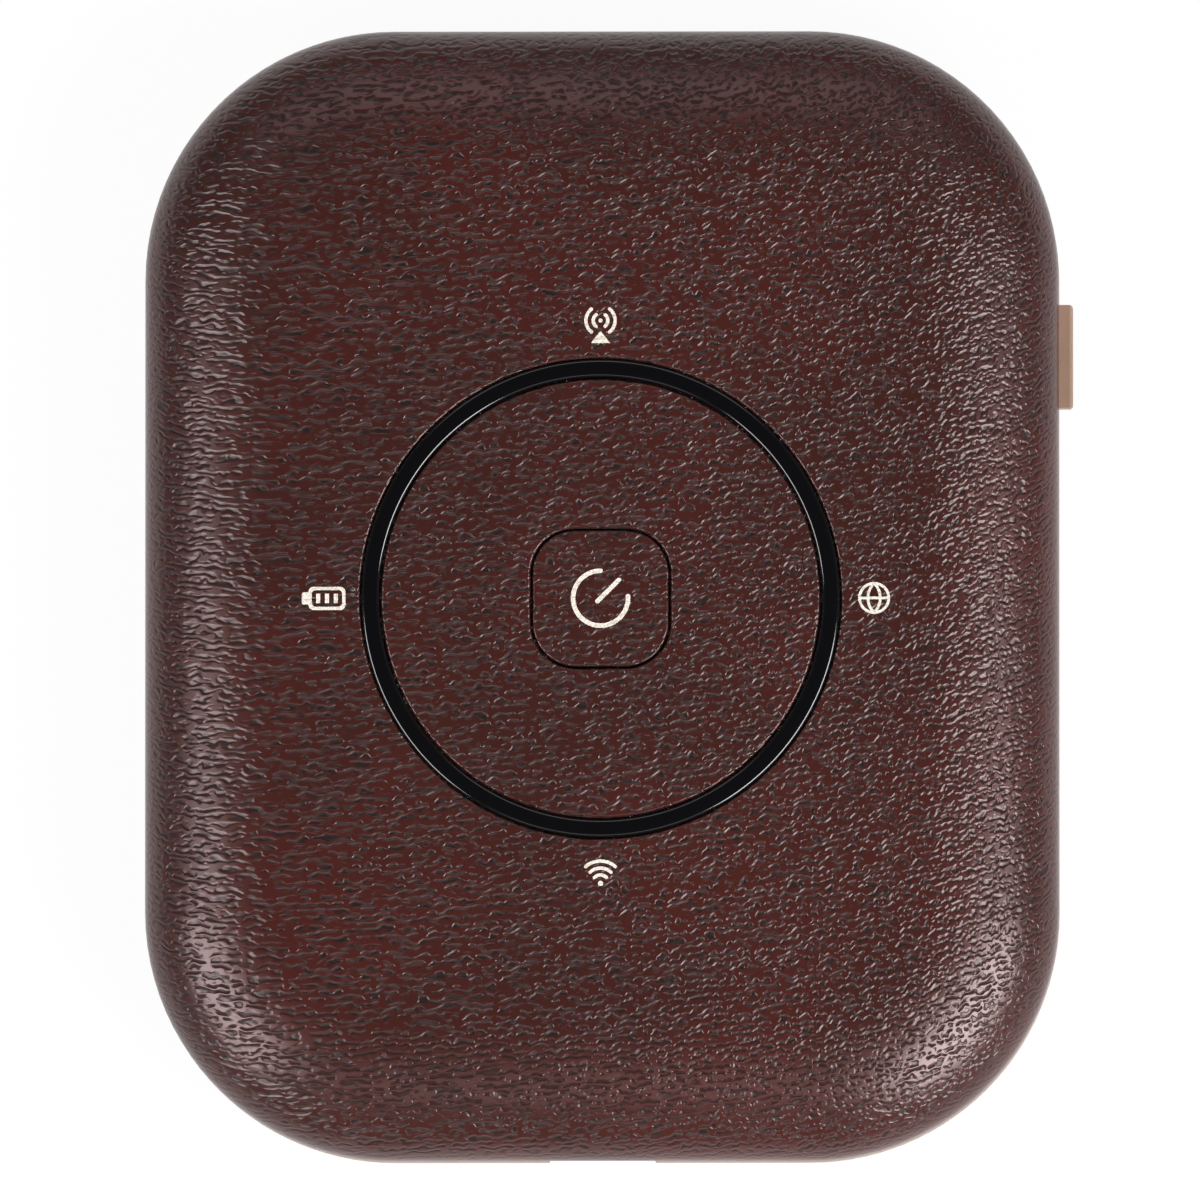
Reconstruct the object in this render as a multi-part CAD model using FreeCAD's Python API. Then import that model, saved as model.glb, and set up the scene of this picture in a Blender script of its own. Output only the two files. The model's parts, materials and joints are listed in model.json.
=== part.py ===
"""Pocket mobile hotspot: two leather-grain covers on a tan frame band, with its electronics.

Sizes are in millimetres. X runs across the hotspot, Y along it and Z up through it. The origin
is the centre of the flat back that it lies on, and the end with the charging port faces -Y.
From the back up: back cover, battery, inner chassis, main board, front cover.
"""

import FreeCAD
import Part
import math
import os

from FreeCAD import Vector

# Overall form
WIDTH = 85.0
LENGTH = 105.2
CORNER_RADIUS = 23.2
BACK_DEPTH = 6.0
BAND_HEIGHT = 4.2
FRONT_DEPTH = 7.4
FRONT_EDGE_SPREAD = 12.5
BACK_EDGE_SPREAD = 9.0
EDGE_FULLNESS = 0.62
COVER_WALL = 1.7

# Frame band and its lips
LIP_CLEARANCE = 0.1
LIP_THICKNESS = 0.8
LIP_HEIGHT = 1.4
LEDGE_WIDTH = 1.0
LEDGE_THICKNESS = 0.6

# Snap ridges that hold the back cover, and the fingernail notch that opens it
SNAP_LENGTH = 6.0
SNAP_HEIGHT = 0.5
SNAP_BITE = 0.35
SNAP_CLEARANCE = 0.1
SNAP_BELOW_SEAM = 0.55
SNAP_SIDE_SPACING = 36.0
SNAP_END_SPACING = 28.0
NAIL_NOTCH_Y = -22.0
NAIL_NOTCH_RADIUS = 9.0
NAIL_NOTCH_DEPTH = 0.8
NAIL_NOTCH_HEIGHT = 1.2

# Smooth bare panel let into the back
PANEL_WIDTH = 42.0
PANEL_LENGTH = 24.0
PANEL_DEPTH = 0.15
PANEL_Y = -26.0
PANEL_RADIUS = 3.0

# Charging port
PORT_WIDTH = 8.94
PORT_HEIGHT = 3.26
PORT_LENGTH = 7.35
PORT_SHELL = 0.3
PORT_CLEARANCE = 0.15
PORT_NOTCH_WIDTH = 9.9
PORT_NOTCH_DEPTH = 0.45
PORT_RECESS = 0.35
PORT_BACK_BLOCK = 1.6
TONGUE_WIDTH = 6.69
TONGUE_THICKNESS = 0.7
TONGUE_SETBACK = 0.8
CONTACT_COUNT = 12
CONTACT_PITCH = 0.5
CONTACT_WIDTH = 0.25
CONTACT_THICKNESS = 0.06
CONTACT_LENGTH = 3.6

# Main board and chassis
BOARD_THICKNESS = 1.0
BOARD_CLEARANCE = 0.4
STANDOFF_HEIGHT = 0.95
DECK_THICKNESS = 0.8
CHASSIS_CLEARANCE = 0.1

# Battery and its bay
BATTERY_WIDTH = 54.0
BATTERY_LENGTH = 64.0
BATTERY_THICKNESS = 5.8
BATTERY_X = -4.0
BATTERY_SETBACK = 14.6
BATTERY_EDGE = 1.5
BAY_CLEARANCE = 0.25
BAY_WALL = 1.0
BAY_FLOOR_GAP = 0.8
PAD_MARGIN = 6.0
SPREADER_MARGIN = 3.0
SPREADER_THICKNESS = 0.2
TERMINAL_COUNT = 4
TERMINAL_PITCH = 3.0
TERMINAL_WIDTH = 1.2
TERMINAL_HEIGHT = 2.2
TERMINAL_LENGTH = 1.4
TERMINAL_BLOCK_DEPTH = 3.4
TERMINAL_BLOCK_DROP = 5.2

# Screws
CASE_SCREW_INSET = 11.0
CASE_SCREW_LENGTH = 5.0
SCREW_RADIUS = 0.8
SCREW_HEAD_RADIUS = 1.5
SCREW_HEAD_HEIGHT = 0.8
SCREW_CLEARANCE = 0.05
SCREW_HOLE_CLEARANCE = 0.2
SCREW_TIP_GAP = 0.3
SOCKET_ACROSS_FLATS = 0.9
SOCKET_DEPTH = 0.45
BOSS_RADIUS = 2.1
BOARD_SCREW_LENGTH = 4.0
BOARD_SCREW_BOSS_RADIUS = 1.7
BOARD_SCREW_X = 22.0
BOARD_SCREW_GAP = 3.0

# Power button in the middle of the front
POWER_SIZE = 12.6
POWER_CORNER = 4.0
POWER_GAP = 0.22
POWER_FLANGE_MARGIN = 1.3
POWER_FLANGE_THICKNESS = 0.8
POWER_EDGE = 0.15
POWER_TRAVEL = 0.35
REST_CLEARANCE = 0.05
GUIDE_RADIUS = 3.4
GUIDE_CLEARANCE = 0.05
GUIDE_STEM_RADIUS = 1.5

# Push switches
SWITCH_SIZE = 4.5
SWITCH_HEIGHT = 1.8
SWITCH_PLUNGER_RADIUS = 1.0
SWITCH_PLUNGER_PROUD = 0.45
SWITCH_PLUNGER_CLEARANCE = 0.08
SWITCH_PLUNGER_TAIL = 0.8
RESET_INSET = 9.5
RESET_SETBACK = 21.6
RESET_TRAVEL = 0.25
RESET_SIZE = 3.0
RESET_HEIGHT = 1.35
RESET_PLUNGER_RADIUS = 0.7

# Side key
SIDE_KEY_Y = 22.3
SIDE_KEY_LENGTH = 9.6
SIDE_KEY_HEIGHT = 2.8
SIDE_KEY_PROUD = 1.3
SIDE_KEY_GAP = 0.15
SIDE_KEY_ROUND = 0.35
SIDE_KEY_FLANGE = 0.6
SIDE_KEY_FLANGE_MARGIN = 0.5
SIDE_KEY_FLANGE_RISE = 0.25
SIDE_KEY_TRAVEL = 0.3
SIDE_SWITCH_LENGTH = 4.6
SIDE_SWITCH_DEPTH = 2.4
SIDE_SWITCH_HEIGHT = 1.9
SIDE_SWITCH_SETBACK = 0.7
SIDE_PLUNGER_PROUD = 0.5
SIDE_PLUNGER_WIDTH = 1.8
SIDE_PLUNGER_HEIGHT = 0.9
SIDE_NUB_MARGIN = 0.3

# Card socket beside the battery, and its card
CARD_LENGTH = 12.3
CARD_WIDTH = 8.8
CARD_THICKNESS = 0.67
CARD_CUT = 1.6
CARD_PROUD = 1.6
CARD_TRAVEL = 12.0
CARD_SIDE_CLEARANCE = 0.1
SOCKET_BACK_Y = 13.0
SOCKET_SIDE = 0.5
SOCKET_END = 0.6
SOCKET_ROOF = 0.2
SOCKET_FLOOR = 0.3
WINDOW_MARGIN = 0.3

# Black ring let into the front
DIAL_Y = -0.6
RING_INNER_RADIUS = 20.5
RING_WIDTH = 1.8
RING_DEPTH = 0.9
RING_PROUD = 0.2
RING_CLEARANCE = 0.06
RING_BEVEL = 0.3
RING_PIN_COUNT = 4
RING_PIN_RADIUS = 0.6
RING_PIN_HEAD = 0.4

# Status signs round the ring, and the light guides behind them
SIGN_RADIUS = 25.4
SIGN_DEPTH = 0.35
SIGN_CLEARANCE = 0.02
SIGN_WEB = 0.3
SIGN_STROKE = 0.31
HOTSPOT_CENTRE = 0.42
HOTSPOT_WAVES = (0.68, 1.36)
HOTSPOT_HALF_WAVE = 52
HOTSPOT_DOT = 0.19
MAST_TOP_DROP = 0.98
MAST_FOOT_DROP = 2.1
MAST_HALF_FOOT = 0.9
BATTERY_SIGN_WIDTH = 3.44
BATTERY_SIGN_HEIGHT = 2.16
BATTERY_SIGN_CORNER = 0.5
BATTERY_NUB_WIDTH = 0.62
BATTERY_NUB_HEIGHT = 1.14
BATTERY_NUB_CORNER = 0.22
BATTERY_BAR_WIDTH = 0.38
BATTERY_BAR_HEIGHT = 0.88
BATTERY_BAR_PITCH = 0.82
GLOBE_RADIUS = 1.36
GLOBE_STROKE = 0.25
GLOBE_BOW = 1.9
WIRELESS_CENTRE = -1.1
WIRELESS_WAVES = ((0.78, 45.0), (1.42, 43.0), (2.08, 41.5))
WIRELESS_DOT = 0.24
POWER_SIGN_STROKE = 0.42
POWER_SIGN_RADIUS = 2.55
POWER_SIGN_START = 90
POWER_SIGN_END = 364
POWER_BAR_START = -0.28
POWER_BAR_END = 1.7
WELL_WIDTH = 4.8
WELL_LENGTH = 4.2
WELL_CLEARANCE = 0.05
GUIDE_FLANGE_MARGIN = 0.8
GUIDE_FLANGE_THICKNESS = 0.6
GUIDE_COLUMN_WIDTH = 2.4
LAMP_LENGTH = 1.6
LAMP_WIDTH = 0.8
LAMP_HEIGHT = 0.6
LAMP_GAP = 0.3
POWER_LAMP_OFFSET = 3.2

# Shield cans: side of the board, gap to the body's side, centre y, width, length
SHIELD_HEIGHT = 1.6
SHIELD_WALL = 0.2
SHIELD_CORNER = 0.8
SHIELDS = {
    "modem_shield": (-1, 12.5, 17.0, 24.0, 22.0),
    "radio_shield": (1, 15.5, 18.0, 20.0, 20.0),
    "wireless_shield": (-1, 15.5, -17.0, 20.0, 18.0),
    "power_shield": (1, 15.5, -18.0, 20.0, 20.0),
}
# Chips: shield can over it, x off the can's centre, width, length, height
CHIPS = {
    "modem_chip": ("modem_shield", -2.0, 13.0, 13.0, 0.9),
    "memory_chip": ("modem_shield", 8.0, 5.5, 9.0, 0.9),
    "radio_chip": ("radio_shield", 0.0, 9.0, 9.0, 0.8),
    "wireless_chip": ("wireless_shield", 0.0, 8.0, 8.0, 0.8),
    "power_chip": ("power_shield", 0.0, 7.0, 7.0, 0.9),
}
PASSIVE_LENGTH = 1.6
PASSIVE_WIDTH = 0.8
PASSIVE_HEIGHT = 0.7
PASSIVE_PITCH = 2.0
PASSIVE_COUNT = 6
PASSIVE_ROW_X = 8.0
PASSIVE_ROW_SETBACK = 9.6

# Antennas stuck to the flat ceiling of the front cover
ANTENNA_THICKNESS = 0.15
ANTENNA_CORNER = 1.0
LONG_ANTENNA_WIDTH = 5.0
LONG_ANTENNA_END_MARGIN = 6.0
LONG_ANTENNA_SIDE_MARGIN = 1.8
SHORT_ANTENNA_WIDTH = 4.6
SHORT_ANTENNA_LENGTH = 18.0
SHORT_ANTENNA_SIDE_MARGIN = 0.5
SHORT_ANTENNA_Y = -17.0
ANTENNA_SPRING_X = 12.0
ANTENNA_SPRING_WIDTH = 1.4
ANTENNA_SPRING_STRIP = 0.2
ANTENNA_SPRING_FOOT = 2.4
ANTENNA_SPRING_LEAN = 0.5
SHORT_SPRING_OFFSET = 1.3

# Levels worked out from the sizes above
BAND_TOP = BACK_DEPTH + BAND_HEIGHT
TOP = BAND_TOP + FRONT_DEPTH
CEILING = TOP - COVER_WALL
FLOOR = COVER_WALL
BAND_WALL = COVER_WALL + LIP_CLEARANCE
LIP_INNER = BAND_WALL + LIP_THICKNESS
LEDGE_INNER = LIP_INNER + LEDGE_WIDTH
PORT_Z = BACK_DEPTH + BAND_HEIGHT / 2
PORT_MOUTH_Y = -LENGTH / 2 + PORT_NOTCH_DEPTH + PORT_RECESS
BOARD_BOTTOM = PORT_Z + PORT_HEIGHT / 2
BOARD_TOP = BOARD_BOTTOM + BOARD_THICKNESS
BOARD_INSET = LIP_INNER + BOARD_CLEARANCE
DECK_TOP = BOARD_BOTTOM - STANDOFF_HEIGHT
DECK_BOTTOM = DECK_TOP - DECK_THICKNESS
BATTERY_BOTTOM = DECK_BOTTOM - BATTERY_THICKNESS
BATTERY_Y = LENGTH / 2 - BATTERY_SETBACK - BATTERY_LENGTH / 2
BATTERY_END_Y = BATTERY_Y - BATTERY_LENGTH / 2
BAY_END_Y = BATTERY_END_Y - BAY_CLEARANCE - BAY_WALL
LAMP_TOP = BOARD_TOP + LAMP_HEIGHT
SIGN_FLOOR = TOP - SIGN_DEPTH
WELL_TOP = SIGN_FLOOR - SIGN_WEB
CASE_SCREW_PLACES = [
    (side * (WIDTH / 2 - CASE_SCREW_INSET), end * (LENGTH / 2 - CASE_SCREW_INSET))
    for side in (-1, 1)
    for end in (-1, 1)
]
BOARD_SCREW_PLACES = [
    (side * BOARD_SCREW_X, BAY_END_Y - BOARD_SCREW_GAP - BOARD_SCREW_BOSS_RADIUS)
    for side in (-1, 1)
]
RESET_X = WIDTH / 2 - RESET_INSET
RESET_Y = RESET_SETBACK - LENGTH / 2
FLAT_HALF_WIDTH = WIDTH / 2 - FRONT_EDGE_SPREAD
FLAT_HALF_LENGTH = LENGTH / 2 - FRONT_EDGE_SPREAD
LONG_ANTENNA_LENGTH = 2 * (FLAT_HALF_WIDTH - LONG_ANTENNA_END_MARGIN)
LONG_ANTENNA_Y = FLAT_HALF_LENGTH - LONG_ANTENNA_SIDE_MARGIN - LONG_ANTENNA_WIDTH / 2
SHORT_ANTENNA_X = FLAT_HALF_WIDTH - SHORT_ANTENNA_SIDE_MARGIN - SHORT_ANTENNA_WIDTH / 2
ANTENNAS = {
    "main_antenna": (0.0, LONG_ANTENNA_Y, LONG_ANTENNA_LENGTH, LONG_ANTENNA_WIDTH),
    "second_antenna": (0.0, -LONG_ANTENNA_Y, LONG_ANTENNA_LENGTH, LONG_ANTENNA_WIDTH),
    "wireless_antenna_left": (
        -SHORT_ANTENNA_X, SHORT_ANTENNA_Y, SHORT_ANTENNA_WIDTH, SHORT_ANTENNA_LENGTH
    ),
    "wireless_antenna_right": (
        SHORT_ANTENNA_X, SHORT_ANTENNA_Y, SHORT_ANTENNA_WIDTH, SHORT_ANTENNA_LENGTH
    ),
}
SIGN_PLACES = {
    "hotspot_sign": (0.0, DIAL_Y + SIGN_RADIUS),
    "battery_sign": (-SIGN_RADIUS, DIAL_Y),
    "network_sign": (SIGN_RADIUS, DIAL_Y),
    "wireless_sign": (0.0, DIAL_Y - SIGN_RADIUS),
}
CARD_Z = BOARD_BOTTOM - SOCKET_ROOF - CARD_SIDE_CLEARANCE - CARD_THICKNESS
SOCKET_X = (
    BATTERY_X + BATTERY_WIDTH / 2 + BAY_CLEARANCE + BAY_WALL + WIDTH / 2 - LEDGE_INNER
) / 2
CARD_BACK_Y = SOCKET_BACK_Y - SOCKET_END - CARD_SIDE_CLEARANCE
CARD_FRONT_Y = CARD_BACK_Y - CARD_LENGTH


# Simple shapes
def block(centre_x, centre_y, bottom, width, length, height):
    """An upright box, centred in X and Y on the given point."""
    corner = Vector(centre_x - width / 2, centre_y - length / 2, bottom)
    return Part.makeBox(width, length, height, corner)


def post(centre_x, centre_y, bottom, radius, height):
    """An upright cylinder."""
    return Part.makeCylinder(radius, height, Vector(centre_x, centre_y, bottom))


def span(low, high):
    """A box between two opposite corners, each given as (x, y, z)."""
    size = [high[i] - low[i] for i in range(3)]
    return Part.makeBox(*size, Vector(*low))


def rounded_wire(width, length, radius, z, centre_x=0.0, centre_y=0.0):
    """A level rounded rectangle of four lines and four arcs."""
    edges = []
    previous = None
    first = None
    for quarter in range(4):
        side_x = 1 if quarter in (0, 3) else -1
        side_y = 1 if quarter in (0, 1) else -1
        hub = Vector(
            centre_x + side_x * (width / 2 - radius),
            centre_y + side_y * (length / 2 - radius),
            z,
        )
        start, middle, end = (
            hub + Vector(math.cos(angle), math.sin(angle), 0) * radius
            for angle in (math.pi / 2 * quarter + math.pi / 4 * k for k in range(3))
        )
        if previous is not None and (start - previous).Length > 1e-6:
            edges.append(Part.LineSegment(previous, start).toShape())
        edges.append(Part.Arc(start, middle, end).toShape())
        first = first or start
        previous = end
    if (first - previous).Length > 1e-6:
        edges.append(Part.LineSegment(previous, first).toShape())
    return Part.Wire(edges)


def rounded_plate(centre_x, centre_y, bottom, width, length, height, radius):
    """An upright prism on a rounded rectangle."""
    wire = rounded_wire(width, length, radius, bottom, centre_x, centre_y)
    return Part.Face(wire).extrude(Vector(0, 0, height))


def lying_stadium(width, height, length, front_y, centre_z):
    """A bar along +Y from front_y, with a section whose two ends are half rounds."""
    radius = height / 2
    flat = width / 2 - radius
    corners = [Vector(x, front_y, centre_z + z) for x, z in (
        (-flat, -radius), (flat, -radius), (width / 2, 0.0),
        (flat, radius), (-flat, radius), (-width / 2, 0.0),
    )]
    wire = Part.Wire([
        Part.LineSegment(corners[0], corners[1]).toShape(),
        Part.Arc(corners[1], corners[2], corners[3]).toShape(),
        Part.LineSegment(corners[3], corners[4]).toShape(),
        Part.Arc(corners[4], corners[5], corners[0]).toShape(),
    ])
    return Part.Face(wire).extrude(Vector(0, length, 0))


def outline_prism(inset, bottom, top):
    """The body's outline moved in by inset, as an upright prism."""
    return rounded_plate(
        0, 0, bottom, WIDTH - 2 * inset, LENGTH - 2 * inset, top - bottom, CORNER_RADIUS - inset
    )


def fused(shapes):
    """One solid from several that touch or overlap."""
    joined = shapes[0].multiFuse(shapes[1:]) if len(shapes) > 1 else shapes[0]
    return joined.removeSplitter()


def cut(shape, tools):
    """The shape less every tool."""
    return shape.cut(Part.Compound(tools) if len(tools) > 1 else tools[0])


# The rounded body form
def rounded_form(inset, seam, face, spread):
    """The body from its seam to a flat face, with an edge that curves in over spread.

    The edge starts upright at the seam and ends level at the face, which may lie above
    the seam (front) or below it (back).
    """
    radius = CORNER_RADIUS - inset
    half_x = WIDTH / 2 - inset
    half_y = LENGTH / 2 - inset
    rise = face - seam
    outer = Vector(radius, 0, seam)
    inner_seam = Vector(radius - spread, 0, seam)
    inner_face = Vector(radius - spread, 0, face)
    curve = Part.BezierCurve()
    curve.setPoles([
        outer,
        outer + Vector(0, 0, EDGE_FULLNESS * rise),
        inner_face + Vector(spread * (1 - EDGE_FULLNESS), 0, 0),
        inner_face,
    ])
    section = Part.Face(Part.Wire([
        Part.LineSegment(inner_seam, outer).toShape(),
        curve.toShape(),
        Part.LineSegment(inner_face, inner_seam).toShape(),
    ]))
    level = min(seam, face)
    pieces = [rounded_plate(
        0, 0, level, 2 * (half_x - spread), 2 * (half_y - spread), abs(rise), radius - spread
    )]
    for quarter in range(4):
        side_x = 1 if quarter in (0, 3) else -1
        side_y = 1 if quarter in (0, 1) else -1
        hub = Vector(side_x * (half_x - radius), side_y * (half_y - radius), 0)
        turned = section.copy()
        turned.rotate(Vector(0, 0, 0), Vector(0, 0, 1), 90 * quarter)
        turned.translate(hub)
        pieces.append(turned.revolve(hub, Vector(0, 0, 1), 90))
        straight = 2 * (half_y - radius) if quarter in (0, 2) else 2 * (half_x - radius)
        angle = math.pi / 2 * quarter - math.pi / 2
        pieces.append(turned.extrude(Vector(math.cos(angle), math.sin(angle), 0) * straight))
    return fused(pieces)


def front_form(inset):
    """The front half of the body, moved in by inset."""
    return rounded_form(inset, BAND_TOP, TOP - inset, FRONT_EDGE_SPREAD - inset)


def back_form(inset):
    """The back half of the body, moved in by inset."""
    return rounded_form(inset, BACK_DEPTH, inset, BACK_EDGE_SPREAD - inset)


# Signs: flat strokes let into the front
def stroke_arc(centre_x, centre_y, radius, start, end, width):
    """A curved stroke with round ends, from start to end degrees."""
    outer = post(centre_x, centre_y, 0, radius + width / 2, SIGN_DEPTH)
    inner = post(centre_x, centre_y, 0, radius - width / 2, SIGN_DEPTH)
    ring = outer.cut(inner)
    reach = 3 * radius
    sweep = end - start
    wedge = Part.makeCylinder(
        reach, SIGN_DEPTH, Vector(centre_x, centre_y, 0), Vector(0, 0, 1), sweep
    )
    wedge.rotate(Vector(centre_x, centre_y, 0), Vector(0, 0, 1), start)
    ends = [
        post(
            centre_x + radius * math.cos(math.radians(angle)),
            centre_y + radius * math.sin(math.radians(angle)),
            0, width / 2, SIGN_DEPTH,
        )
        for angle in (start, end)
    ]
    return fused([ring.common(wedge)] + ends)


def stroke_bar(start, end, width):
    """A straight stroke with round ends between two points."""
    run = Vector(end[0] - start[0], end[1] - start[1], 0)
    bar = Part.makeBox(run.Length, width, SIGN_DEPTH, Vector(0, -width / 2, 0))
    bar.rotate(Vector(0, 0, 0), Vector(0, 0, 1), math.degrees(math.atan2(run.y, run.x)))
    bar.translate(Vector(start[0], start[1], 0))
    ends = [post(x, y, 0, width / 2, SIGN_DEPTH) for x, y in (start, end)]
    return fused([bar] + ends)


def hotspot_sign(grow):
    """A mast under two pairs of spreading waves."""
    width = SIGN_STROKE + 2 * grow
    waves = [
        stroke_arc(
            0, HOTSPOT_CENTRE, radius, middle - HOTSPOT_HALF_WAVE, middle + HOTSPOT_HALF_WAVE, width
        )
        for radius in HOTSPOT_WAVES
        for middle in (0, 180)
    ]
    dot = post(0, HOTSPOT_CENTRE, 0, HOTSPOT_DOT + grow, SIGN_DEPTH)
    slope = math.atan2(MAST_HALF_FOOT, MAST_FOOT_DROP - MAST_TOP_DROP)
    side_grow = grow / math.cos(slope) + grow * math.tan(slope)
    points = [
        Vector(0, HOTSPOT_CENTRE - MAST_TOP_DROP + grow / math.sin(slope), 0),
        Vector(-MAST_HALF_FOOT - side_grow, HOTSPOT_CENTRE - MAST_FOOT_DROP - grow, 0),
        Vector(MAST_HALF_FOOT + side_grow, HOTSPOT_CENTRE - MAST_FOOT_DROP - grow, 0),
    ]
    mast = Part.Face(Part.makePolygon(points + points[:1])).extrude(Vector(0, 0, SIGN_DEPTH))
    return waves + [dot, mast]


def battery_sign(grow):
    """A lying battery with its nub to the left and three charge bars."""
    width = BATTERY_SIGN_WIDTH
    height = BATTERY_SIGN_HEIGHT
    rim = 2 * (SIGN_STROKE + grow)
    outer = rounded_plate(
        0, 0, 0, width + 2 * grow, height + 2 * grow, SIGN_DEPTH, BATTERY_SIGN_CORNER + grow
    )
    inner = rounded_plate(
        0, 0, 0, width - rim, height - rim, SIGN_DEPTH, BATTERY_SIGN_CORNER - SIGN_STROKE / 2
    )
    nub = rounded_plate(
        -(width + BATTERY_NUB_WIDTH) / 2 + SIGN_STROKE / 2, 0, 0,
        BATTERY_NUB_WIDTH + SIGN_STROKE + 2 * grow, BATTERY_NUB_HEIGHT + 2 * grow,
        SIGN_DEPTH, BATTERY_NUB_CORNER,
    )
    case = fused([outer, nub]).cut(inner)
    bars = [
        block(
            k * BATTERY_BAR_PITCH, 0, 0, BATTERY_BAR_WIDTH + 2 * grow, BATTERY_BAR_HEIGHT + 2 * grow,
            SIGN_DEPTH,
        )
        for k in (-1, 0, 1)
    ]
    return [case] + bars


def network_sign(grow):
    """A globe: a circle with an equator and one curved meridian each side."""
    stroke = GLOBE_STROKE + 2 * grow
    sweep = math.degrees(math.asin(GLOBE_RADIUS / GLOBE_BOW))
    shift = math.sqrt(GLOBE_BOW ** 2 - GLOBE_RADIUS ** 2)
    disc = post(0, 0, 0, GLOBE_RADIUS, SIGN_DEPTH)
    rim = post(0, 0, 0, GLOBE_RADIUS + stroke / 2, SIGN_DEPTH).cut(
        post(0, 0, 0, GLOBE_RADIUS - stroke / 2, SIGN_DEPTH)
    )
    lines = [
        stroke_arc(-shift, 0, GLOBE_BOW, -sweep, sweep, stroke).common(disc),
        stroke_arc(shift, 0, GLOBE_BOW, 180 - sweep, 180 + sweep, stroke).common(disc),
        stroke_bar((-GLOBE_RADIUS, 0), (GLOBE_RADIUS, 0), stroke).common(disc),
    ]
    return [fused([rim] + lines)]


def wireless_sign(grow):
    """A dot with three waves above it."""
    waves = [
        stroke_arc(0, WIRELESS_CENTRE, radius, 90 - half_wave, 90 + half_wave, SIGN_STROKE + 2 * grow)
        for radius, half_wave in WIRELESS_WAVES
    ]
    return waves + [post(0, WIRELESS_CENTRE, 0, WIRELESS_DOT + grow, SIGN_DEPTH)]


def power_sign(grow):
    """A ring with a gap to the upper right and a bar that leaves through it."""
    stroke = POWER_SIGN_STROKE + 2 * grow
    ring = stroke_arc(0, 0, POWER_SIGN_RADIUS, POWER_SIGN_START, POWER_SIGN_END, stroke)
    bar = stroke_bar((POWER_BAR_START, POWER_BAR_START), (POWER_BAR_END, POWER_BAR_END), stroke)
    return [ring, bar]


SIGN_SHAPES = {
    "hotspot_sign": hotspot_sign,
    "battery_sign": battery_sign,
    "network_sign": network_sign,
    "wireless_sign": wireless_sign,
}


def placed_sign(name, grow):
    """One status sign's strokes at their place on the front."""
    x, y = SIGN_PLACES[name]
    strokes = SIGN_SHAPES[name](grow)
    for stroke in strokes:
        stroke.translate(Vector(x, y, SIGN_FLOOR))
    return strokes


def placed_power_sign(grow):
    """The power sign's strokes at their place on the button."""
    strokes = power_sign(grow)
    for stroke in strokes:
        stroke.translate(Vector(0, DIAL_Y, SIGN_FLOOR))
    return strokes


# Covers and frame
def ring_pin_places():
    """Where the ring's pins pass through the front cover."""
    middle = RING_INNER_RADIUS + RING_WIDTH / 2
    turns = [math.pi * (2 * k + 1) / RING_PIN_COUNT for k in range(RING_PIN_COUNT)]
    return [(middle * math.cos(turn), DIAL_Y + middle * math.sin(turn)) for turn in turns]


def front_cover():
    """The leather-grain front shell, with its bosses, ring groove, button hole and sign pockets."""
    cavity = front_form(COVER_WALL)
    shell = front_form(0).cut(cavity)
    bosses = [
        post(x, y, BOARD_TOP, BOSS_RADIUS, TOP - BOARD_TOP).common(cavity)
        for x, y in CASE_SCREW_PLACES
    ]
    shell = fused([shell] + bosses)
    screw_tip = DECK_BOTTOM + CASE_SCREW_LENGTH + SCREW_TIP_GAP
    tools = [
        post(x, y, BOARD_TOP, SCREW_RADIUS + SCREW_CLEARANCE, screw_tip - BOARD_TOP)
        for x, y in CASE_SCREW_PLACES
    ]
    groove = post(0, DIAL_Y, TOP - RING_DEPTH, RING_INNER_RADIUS + RING_WIDTH, RING_DEPTH + 1)
    tools.append(groove.cut(post(0, DIAL_Y, TOP - RING_DEPTH, RING_INNER_RADIUS, RING_DEPTH + 1)))
    tools += [
        post(x, y, CEILING - 1, RING_PIN_RADIUS + RING_CLEARANCE, TOP - RING_DEPTH - CEILING + 1)
        for x, y in ring_pin_places()
    ]
    hole = POWER_SIZE + 2 * POWER_GAP
    tools.append(
        rounded_plate(0, DIAL_Y, CEILING - 1, hole, hole, COVER_WALL + 2, POWER_CORNER + POWER_GAP)
    )
    for name, (x, y) in SIGN_PLACES.items():
        tools.append(block(x, y, CEILING - 1, WELL_WIDTH, WELL_LENGTH, WELL_TOP - CEILING + 1))
        tools += placed_sign(name, SIGN_CLEARANCE)
    return cut(shell, tools)


def ring_trim():
    """The gloss ring with bevelled edges, held by pins staked under the front cover."""
    inner = RING_INNER_RADIUS + RING_CLEARANCE
    outer = RING_INNER_RADIUS + RING_WIDTH - RING_CLEARANCE
    bottom = TOP - RING_DEPTH
    crest = TOP + RING_PROUD
    section = [
        (inner, bottom), (outer, bottom), (outer, crest - RING_BEVEL),
        (outer - RING_BEVEL, crest), (inner + RING_BEVEL, crest), (inner, crest - RING_BEVEL),
    ]
    points = [Vector(r, DIAL_Y, z) for r, z in section]
    face = Part.Face(Part.makePolygon(points + points[:1]))
    ring = face.revolve(Vector(0, DIAL_Y, 0), Vector(0, 0, 1), 360)
    parts = [ring]
    for x, y in ring_pin_places():
        parts.append(post(x, y, CEILING - RING_PIN_HEAD, RING_PIN_RADIUS, bottom - CEILING + RING_PIN_HEAD))
        parts.append(post(x, y, CEILING - RING_PIN_HEAD, 1.5 * RING_PIN_RADIUS, RING_PIN_HEAD))
    return fused(parts)


def snap_places():
    """Centre and half sizes of each snap ridge: (x, y, along X or not, outward sign)."""
    places = [
        (side, end * SNAP_SIDE_SPACING / 2, False) for side in (-1, 1) for end in (-1, 1)
    ]
    places += [
        (side * SNAP_END_SPACING / 2, end, True) for end in (-1, 1) for side in (-1, 1)
    ]
    return places


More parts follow.
